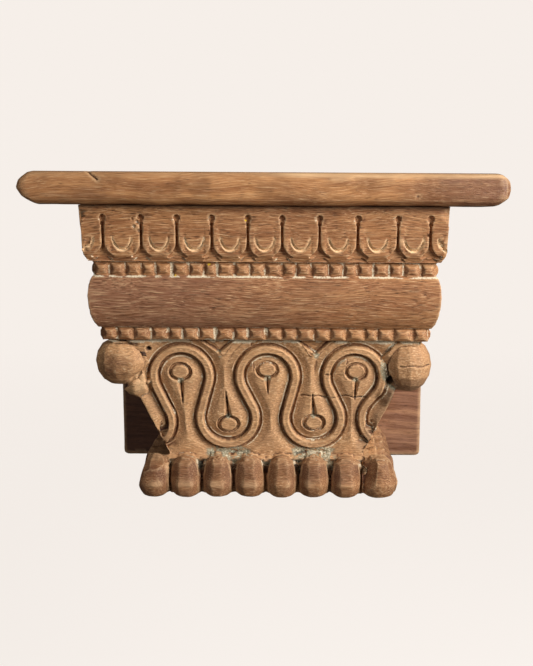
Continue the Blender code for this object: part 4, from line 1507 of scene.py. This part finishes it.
@dataclass
class BlockAge:
    """What the years left on the carved block: dust, dirt, wear and paint, with the shade and highlights
    painted among them.

    X is sideways, front_gap is the distance behind the frieze's top edge, and height is over the block's
    foot, all in millimetres. Each method lays its traces over what is there.
    """

    block: CarvedBlock
    dense: DenseMesh
    marks: Marks
    x: np.ndarray = field(init=False)
    front_gap: np.ndarray = field(init=False)
    height: np.ndarray = field(init=False)
    near: np.ndarray = field(init=False)
    crumbs: np.ndarray = field(init=False)
    patches: np.ndarray = field(init=False)
    toes: np.ndarray = field(init=False)
    panel: np.ndarray = field(init=False)
    strip: np.ndarray = field(init=False)

    def __post_init__(self) -> None:
        """Works out places, hollows, random spreads and the shares of toes and panel."""
        places = self.dense.points
        self.x, self.front_gap, self.height = (places - self.block.at(0.0, 0.0, 0.0)).T
        self.near = self.dense.hollowness(3)
        self.crumbs = even_noise(places, (7.0, 4.0, 4.0), 41)
        self.patches = even_noise(places, 13.0, 42)
        self.toes = smooth_step((36.0 - self.height) / 5.0)
        self.panel = smooth_step((155.0 - self.height) / 3.0)
        self.strip = self.block.panel_right_strip(places)

    def lay(self) -> Marks:
        """Lays all traces, one over the other.

        Returns:
            Shares from 0 to 1 for each vertex, by the name that the wood reads.
        """
        self.beads()
        self.mouldings()
        self.frieze()
        self.foot_dirt()
        self.ribbon()
        self.tones()
        self.balls()
        self.toe_tops()
        self.rubbed_panel()
        self.hollows()
        self.specks()
        return self.marks

    def lift(self, name: str, values: np.ndarray) -> None:
        """Raises one mark to new values wherever these are higher."""
        lift(self.marks, name, values)

    def crumbly(self, start: float, width: float) -> np.ndarray:
        """Share of the places that a crumbly spread covers, from a start value on."""
        return smooth_step((self.crumbs - start) / width)

    def beads(self) -> None:
        """Lays dust in the valleys between the beads, and painted shade on their left faces, which turn away
        from the light.
        """
        side = np.abs(self.x) - self.block.corners()[1][0]
        # painted shade on faces that turn left, away from the light
        leftward = 0.55 * smooth_step((-self.dense.normals[:, 0] - 0.15) / 0.3)
        for foot, top, inset in self.block.bead_courses:
            course = (self.height > foot) & (self.height < top)
            rise = inset + np.maximum(-self.front_gap, side)
            valley = 0.75 * smooth_step((0.6 - rise) / 0.35) * self.crumbly(0.2, 0.3)
            self.marks["dust"] = np.where(course, valley, self.marks["dust"])
            self.marks["shade"] = np.where(course, leftward, self.marks["shade"])

    def mouldings(self) -> None:
        """Lays thin lines of dust in the corners of the mouldings."""
        for level, reach, share in self.block.dust_lines:
            self.lift("dust", share * stripe(self.height, level, reach, 1.3) * self.crumbly(0.25, 0.25))

    def frieze(self) -> None:
        """Takes most painted shade off the tongues, draws a pale dust ring left of each groove top and a
        ring of painted shade right of it, paints the groove walls that face the light pale, and lays dust in
        the grooves.
        """
        share = smooth_step((self.height - 229.0) / 2.0)
        self.marks["shade"] *= 1.0 - 0.7 * share
        self.marks["soot"] *= 1.0 - 0.8 * share
        ring_height = self.height - self.block.frieze_foot_mm - 41.0
        # the left ring is pale dust, the right one painted shade
        sides = ((-3.6, "dust"), (3.8, "shade"))
        for groove, (aside, mark) in itertools.product(self.block.grooves_mm, sides):
            ring = np.hypot(self.x - groove - aside, ring_height)
            punch = stripe(ring, 1.7, 1.0, 1.5) * (self.front_gap < 6.0)
            self.lift(mark, 0.7 * punch * self.crumbly(0.3, 0.3))
        # groove walls that face right, towards the light, painted pale: dust and a painted highlight
        cut = share * smooth_step((self.near - 0.05) / 0.2) * (np.abs(self.x) < 156.0)
        cut *= smooth_step((self.dense.normals[:, 0] - 0.1) / 0.3)
        self.lift("dust", 0.7 * cut * self.crumbly(0.3, 0.3))
        groove = share * smooth_step((262.0 - self.height) / 20.0) * smooth_step((self.near - 0.12) / 0.2)
        self.lift("dust", 0.6 * groove * smooth_step((self.patches - 0.42) / 0.2))

    def foot_dirt(self) -> None:
        """Lays grey-green dirt in the pits at the panel's foot and in the carved hollows."""
        grit = even_noise(self.dense.points, 2.3, 46)
        foot = band(self.height, 31.0, 3.0, 46.0, 6.0) * smooth_step((self.front_gap - 26.0) / 4.0)
        soil = foot * (0.2 + 0.7 * self.block.pits(self.dense.points)) * smooth_step((grit - 0.25) / 0.3)
        caught = smooth_step((0.5 * self.crumbs + 0.5 * grit - 0.25) / 0.25)
        self.marks["soil"] = np.maximum(soil, self.block.kept["soil"] * caught)

    def ribbon(self) -> None:
        """Lays dust and painted highlights beside the ribbon, and the painted shade of its grooves."""
        dust = self.block.kept["dust"]
        self.lift("dust", dust * smooth_step((self.patches - 0.4) / 0.12) * (0.7 + 0.5 * self.crumbs))
        self.lift("wear", 0.6 * dust * self.crumbs)
        self.lift("shade", self.block.kept["shade"])

    def tones(self) -> None:
        """Reddens the torus's left, the toes and the strip under the right ball, and mottles the panel."""
        places = self.dense.points
        torus = (self.height > 167.5) & (self.height < 217.0)
        rightward = smooth_step((self.x + 100.0) / 250.0)
        tone = (0.60 - 0.66 * rightward) * torus + 0.25 * self.toes + 0.35 * self.strip
        tone += 0.3 * (1.0 - self.toes) * self.panel * noise(places, 26.0, 43)
        tone += 0.4 * self.toes * noise(places, 11.0, 44)
        self.marks["tone"] = np.clip(self.marks["tone"] + tone, 0.0, 1.0)

    def balls(self) -> None:
        """Paints end-grain rings and shade on the left ball's lower left, makes the right ball a little
        darker, dusts both, and paints a highlight on the left knob in place of its shade.
        """
        places = self.dense.points
        # end-grain rings and painted shade on the left ball's lower left, which turns away from the light
        end_grain_and_shade = distance_to(places, self.block.at(*self.block.end_grain_and_shade_mm))
        rings = 0.75 + 0.25 * np.sin(end_grain_and_shade / 0.55)
        self.lift("shade", 0.8 * stripe(end_grain_and_shade, 0.0, 24.0, 1.5) * rings)
        # the right ball a little darker
        right_ball = self.block.at(*self.block.corner_balls[1].middle_mm)
        self.lift("shade", 0.14 * smooth_step((27.0 - distance_to(places, right_ball)) / 3.0))
        top = smooth_step((np.abs(self.x) - 116.0) / 5.0) * band(self.height, 149.0, 4.0, 157.0, 3.0)
        self.lift("dust", 0.9 * top * self.crumbly(0.25, 0.25))
        # painted highlight on the left knob, whose painted shade is taken off
        knob = smooth_step((17.0 - distance_to(places, self.block.knob(-1.0))) / 4.0)
        self.marks["shade"] *= 1.0 - 0.85 * knob
        self.lift("wear", 0.5 * knob)

    def toe_tops(self) -> None:
        """Darkens the upper part of the toes, and paints a highlight on their knuckles."""
        upper = smooth_step((self.height - 12.0) / 10.0)
        darker = 0.2 + 0.26 * upper + 0.25 * noise(self.dense.points, (9.0, 9.0, 14.0), 45)
        self.lift("shade", darker * self.toes)
        # painted highlight on the toes' knuckles
        knuckle = band(self.height, 9.0, 3.0, 18.0, 3.0) * smooth_step((17.5 - self.front_gap) / 2.0)
        self.lift("wear", 0.3 * knuckle * self.toes * smooth_step((self.patches - 0.35) / 0.3))

    def rubbed_panel(self) -> None:
        """Lays tool marks and rubbed wood on the panel, and a painted black shadow just under the plank."""
        uneven = 0.3 * noise(self.dense.points, 17.0, 48)
        self.marks["hewn"] = 0.3 + (0.5 - 0.25 * self.toes + uneven) * self.panel
        self.lift("wear", 0.2 * self.panel * (1.0 - self.toes) * (1.0 - self.marks["shade"]))
        # painted shadow of the plank on the frieze's top
        self.lift("soot", 0.55 * smooth_step((self.height - 278.5) / 3.0))

    def hollows(self) -> None:
        """Paints the crescents pale, as bare wood and as a highlight, paints shadow on the lump under the
        right ball, on the strip beside it and behind the left toes, and paints the holes black as shade.
        """
        bare_and_highlit = self.block.kept["wear"]
        self.lift("wear", bare_and_highlit)
        # painted shadow of the right ball on the lump under it, and on the strip beside it
        lump = stripe(distance_to(self.dense.points, self.block.at(*self.block.lump_mm)), 0.0, 17.0, 1.4)
        self.marks["shade"] *= 1.0 - bare_and_highlit
        self.lift("shade", np.maximum(0.5 * self.strip, 0.95 * lump))
        self.lift("soot", 0.35 * lump)
        # painted shadow behind the left toes, where the block keeps the light off
        behind = smooth_step((-self.x - 94.0) / 5.0) * band(self.height, 24.0, 12.0, 66.0, 8.0)
        self.lift("shade", 0.6 * behind)
        self.marks["soot"] *= 1.0 - bare_and_highlit
        # holes painted black as shade
        self.lift("soot", 0.85 * self.block.kept["soot"])

    def specks(self) -> None:
        """Leaves specks of old yellow paint."""
        ragged = 1.0 + 0.3 * noise(self.dense.points, 1.5, 47)
        for x, rise, size in self.block.paint_specks:
            gap = np.hypot(self.x - x, self.height - rise) * ragged
            self.lift("paint", stripe(gap, 0.0, size, 1.4) * (self.front_gap < 25.0))


@dataclass
class WornPlank(WoodPiece):
    """The shelf plank, its ends and edges rubbed round, with one long crack."""

    left_inset_mm: tuple[float, ...] = (15.0, 5.0, 0.0, 2.0, 8.0)
    right_inset_mm: tuple[float, ...] = (8.0, 1.5, 0.0, 1.0, 5.0)
    end_reach_mm: float = 45.0

    def carve(self, dense: DenseMesh) -> None:
        """Slants the ends, wears the edges and opens the crack.

        Args:
            dense: the fine mesh.
        """
        low, high = self.corners()
        rise = (dense.points[:, 2] - low[2]) / (high[2] - low[2])
        for way, edge, insets in ((1.0, low[0], self.left_inset_mm), (-1.0, high[0], self.right_inset_mm)):
            inset = np.interp(rise, np.linspace(0.0, 1.0, len(insets)), insets)
            reach = np.clip(1.0 - way * (dense.points[:, 0] - edge) / self.end_reach_mm, 0.0, 1.0)
            dense.points[:, 0] += way * inset * reach**1.5
        dense.write()
        self.crack(dense)
        self.roughen(dense, swell_mm=0.5, tool_mm=0.12)

    def crack(self, dense: DenseMesh) -> None:
        """Opens the slanting crack near the left end, and a nick in the front edge.

        Args:
            dense: the fine mesh.
        """
        low, high = self.corners()
        depth = dense.points[:, 1] - low[1]
        start, end = np.array([-159.0, high[2] + 1.0]), np.array([-144.0, high[2] - 10.5])
        line = end - start
        place = dense.points[:, [0, 2]] - start
        run = np.clip(place @ line / (line @ line), 0.0, 1.0)
        gap = np.linalg.norm(place - run[:, None] * line, axis=1)
        gap = gap + 0.5 * noise(dense.points, 5.0, 61)
        open_share = smooth_step(1.0 - gap / (1.5 * (1.1 - run))) * smooth_step((30.0 - depth) / 20.0)
        dense.points += -dense.normals * (2.2 * open_share)[:, None]
        nick = np.linalg.norm(place + start - np.array([139.0, high[2] - 21.0]), axis=1)
        dense.points[:, 1] += 1.4 * smooth_step(1.0 - nick / 2.2) * (depth < 4.0)

    def marks(self, dense: DenseMesh) -> Marks:
        """Adds the pale rubbed band along the top edge, the golden middle and the redder right end.

        Args:
            dense: the carved mesh.

        Returns:
            Shares from 0 to 1 for each vertex.
        """
        marks = super().marks(dense)
        low, high = self.corners()
        x, depth, drop = dense.points[:, 0], dense.points[:, 1] - low[1], high[2] - dense.points[:, 2]
        streaky = even_noise(dense.points, (30.0, 4.0, 2.2), 71)
        rubbed = smooth_step((6.5 - drop) / 3.5) * smooth_step((9.0 - depth) / 4.0)
        rightward = smooth_step((x + 20.0) / 70.0)
        lift(marks, "wear", rubbed * (0.25 + 0.6 * rightward) * (0.3 + 0.7 * streaky))
        redder = smooth_step((x - 110.0) / 90.0)
        marks["tone"] = 0.6 * redder + 0.10 * streaky
        # the right end darker as well as redder, and the left end a little darker: the wood's colour
        lift(marks, "shade", 0.34 * redder)
        lift(marks, "shade", 0.14 * smooth_step((-80.0 - x) / 60.0))
        scuff = smooth_step((20.0 - np.abs(x - 76.0)) / 8.0) * smooth_step((2.0 - np.abs(drop - 6.5)) / 1.5)
        lift(marks, "wear", 0.8 * scuff * streaky * (depth < 6.0))
        marks["dust"] *= 0.2
        return marks


@dataclass
class ShadowPaintedBoard(WoodPiece):
    """The back board, whose left part is painted almost black as the shadow that the block casts."""

    def marks(self, dense: DenseMesh) -> Marks:
        """Adds the painted shadow on the left part.

        Args:
            dense: the fine mesh.

        Returns:
            Shares from 0 to 1 for each vertex.
        """
        marks = super().marks(dense)
        # painted shadow that the block casts on the board's left part
        leftward = smooth_step((-60.0 - dense.points[:, 0]) / 60.0)
        lift(marks, "shade", 0.75 * leftward)
        lift(marks, "soot", 0.10 * leftward)
        return marks


@dataclass
class Studio:
    """Floor, lights, sky and camera."""

    floor_z: float = -0.62
    picture_px: tuple[int, int] = (533, 666)
    focal_px: float = 955.0
    centre_px: float = 312.0

    def build(self) -> None:
        """Makes everything that isn't part of the shelf."""
        self.floor()
        self.sky()
        self.lamp("window", at=(1.15, -0.95, 0.60), size=0.8, watts=39.5)
        self.lamp("wall", at=(-1.2, -1.8, 0.5), size=1.2, watts=7.0)
        self.camera()
        bpy.context.scene.view_settings.view_transform = "Standard"

    def floor(self) -> None:
        """Lays a plain pale round floor that fades out into the background."""
        bm = bmesh.new()
        bmesh.ops.create_circle(bm, cap_ends=True, segments=96, radius=4.0)
        bmesh.ops.translate(bm, vec=(0.0, 0.0, self.floor_z), verts=bm.verts)
        mesh = bpy.data.meshes.new("floor")
        bm.to_mesh(mesh)
        bm.free()
        floor = bpy.data.objects.new("floor", mesh)
        bpy.context.scene.collection.objects.link(floor)
        material = bpy.data.materials.new("painted_floor")
        material.use_nodes = True
        tree = material.node_tree
        shader = tree.nodes["Principled BSDF"]
        shader.inputs["Base Color"].default_value = (0.12, 0.115, 0.11, 1.0)
        shader.inputs["Roughness"].default_value = 0.9
        shader.inputs["Specular IOR Level"].default_value = 0.0
        shader.inputs["Emission Color"].default_value = linear(Pigment.BACKDROP)
        shown = add_node(tree, "ShaderNodeLightPath").outputs["Is Camera Ray"]
        glow = add_node(tree, "ShaderNodeMath", TIMES, i0=shown, i1=0.94).outputs[0]
        tree.links.new(glow, shader.inputs["Emission Strength"])
        place = add_node(tree, "ShaderNodeTexCoord").outputs["Object"]
        flat = add_node(tree, "ShaderNodeVectorMath", TIMES, i0=place, i1=(1.0, 1.0, 0.0)).outputs[0]
        reach = add_node(tree, "ShaderNodeVectorMath", {"operation": "LENGTH"}, i0=flat).outputs["Value"]
        settings = {"From Min": 1.2, "From Max": 3.6, "To Min": 1.0, "To Max": 0.0}
        fade = add_node(tree, "ShaderNodeMapRange", settings, Value=reach).outputs["Result"]
        tree.links.new(fade, shader.inputs["Alpha"])
        mesh.materials.append(material)

    def sky(self) -> None:
        """Sets the plain pale background, which lights the scene less than it shows."""
        world = bpy.data.worlds.new("pale_room")
        world.use_nodes = True
        tree = world.node_tree
        tree.nodes.clear()
        seen = add_node(tree, "ShaderNodeBackground", {"Color": linear(Pigment.BACKDROP), "Strength": 1.0})
        lit = add_node(tree, "ShaderNodeBackground", {"Color": (1.0, 0.95, 0.9, 1.0), "Strength": 0.08})
        camera_ray = add_node(tree, "ShaderNodeLightPath").outputs["Is Camera Ray"]
        sides = {"i0": camera_ray, "i1": lit.outputs[0], "i2": seen.outputs[0]}
        mixed = add_node(tree, "ShaderNodeMixShader", None, **sides).outputs[0]
        add_node(tree, "ShaderNodeOutputWorld", None, Surface=mixed)
        bpy.context.scene.world = world

    def lamp(self, name: str, at: tuple[float, float, float], size: float, watts: float) -> None:
        """Hangs one soft square lamp that faces the shelf.

        Args:
            name: the lamp's name.
            at: its place in metres.
            size: its side in metres.
            watts: its power.
        """
        light = bpy.data.lights.new(name, "AREA")
        light.energy = watts
        light.size = size
        lamp = bpy.data.objects.new(name, light)
        lamp.location = at
        lamp.rotation_euler = (Vector((0.0, -0.1, 0.0)) - Vector(at)).to_track_quat("-Z", "Y").to_euler()
        lamp.visible_camera = False
        bpy.context.scene.collection.objects.link(lamp)

    def camera(self) -> None:
        """Sets the camera where the photograph was taken."""
        width, height = self.picture_px
        lens = bpy.data.cameras.new("camera")
        lens.sensor_width = 36.0
        lens.lens = self.focal_px / height * lens.sensor_width
        lens.shift_x = (width / 2 - self.centre_px) / height
        camera = bpy.data.objects.new("camera", lens)
        tilt = Matrix.Rotation(radians(90 - 8.8), 4, "X") @ Matrix.Rotation(radians(0.35), 4, "Z")
        camera.matrix_world = Matrix.Translation((0.04446, -1.06388, 0.1599)) @ tilt
        bpy.context.scene.collection.objects.link(camera)
        bpy.context.scene.camera = camera


def main() -> None:
    """Builds the studio and each piece in order."""
    logging.basicConfig(level=logging.INFO, format="%(message)s")
    Studio().build()
    carved = OldHardwood("carved_old_teak")
    sawn = OldHardwood("sawn_old_teak", coats=SHELF_COATS, roughness=0.5)
    dark = OldHardwood("dark_old_teak", body=Pigment.PLUM, coats=BOARD_COATS)
    pieces = (
        CarvedBlock("corbel_block", "carved_block", carved, grid_mm=1.0, triangles=190_000, smoothing=1),
        WornPlank("shelf_plank", "worn_plank", sawn, grid_mm=1.7, triangles=90_000),
        ShadowPaintedBoard("back_board", "wall_board", dark, grid_mm=2.4, triangles=30_000),
    )
    for part in pieces:
        piece = part.build()
        LOG.info("%s: %d faces", piece.name, len(piece.data.polygons))


if __name__ == "__main__":
    main()
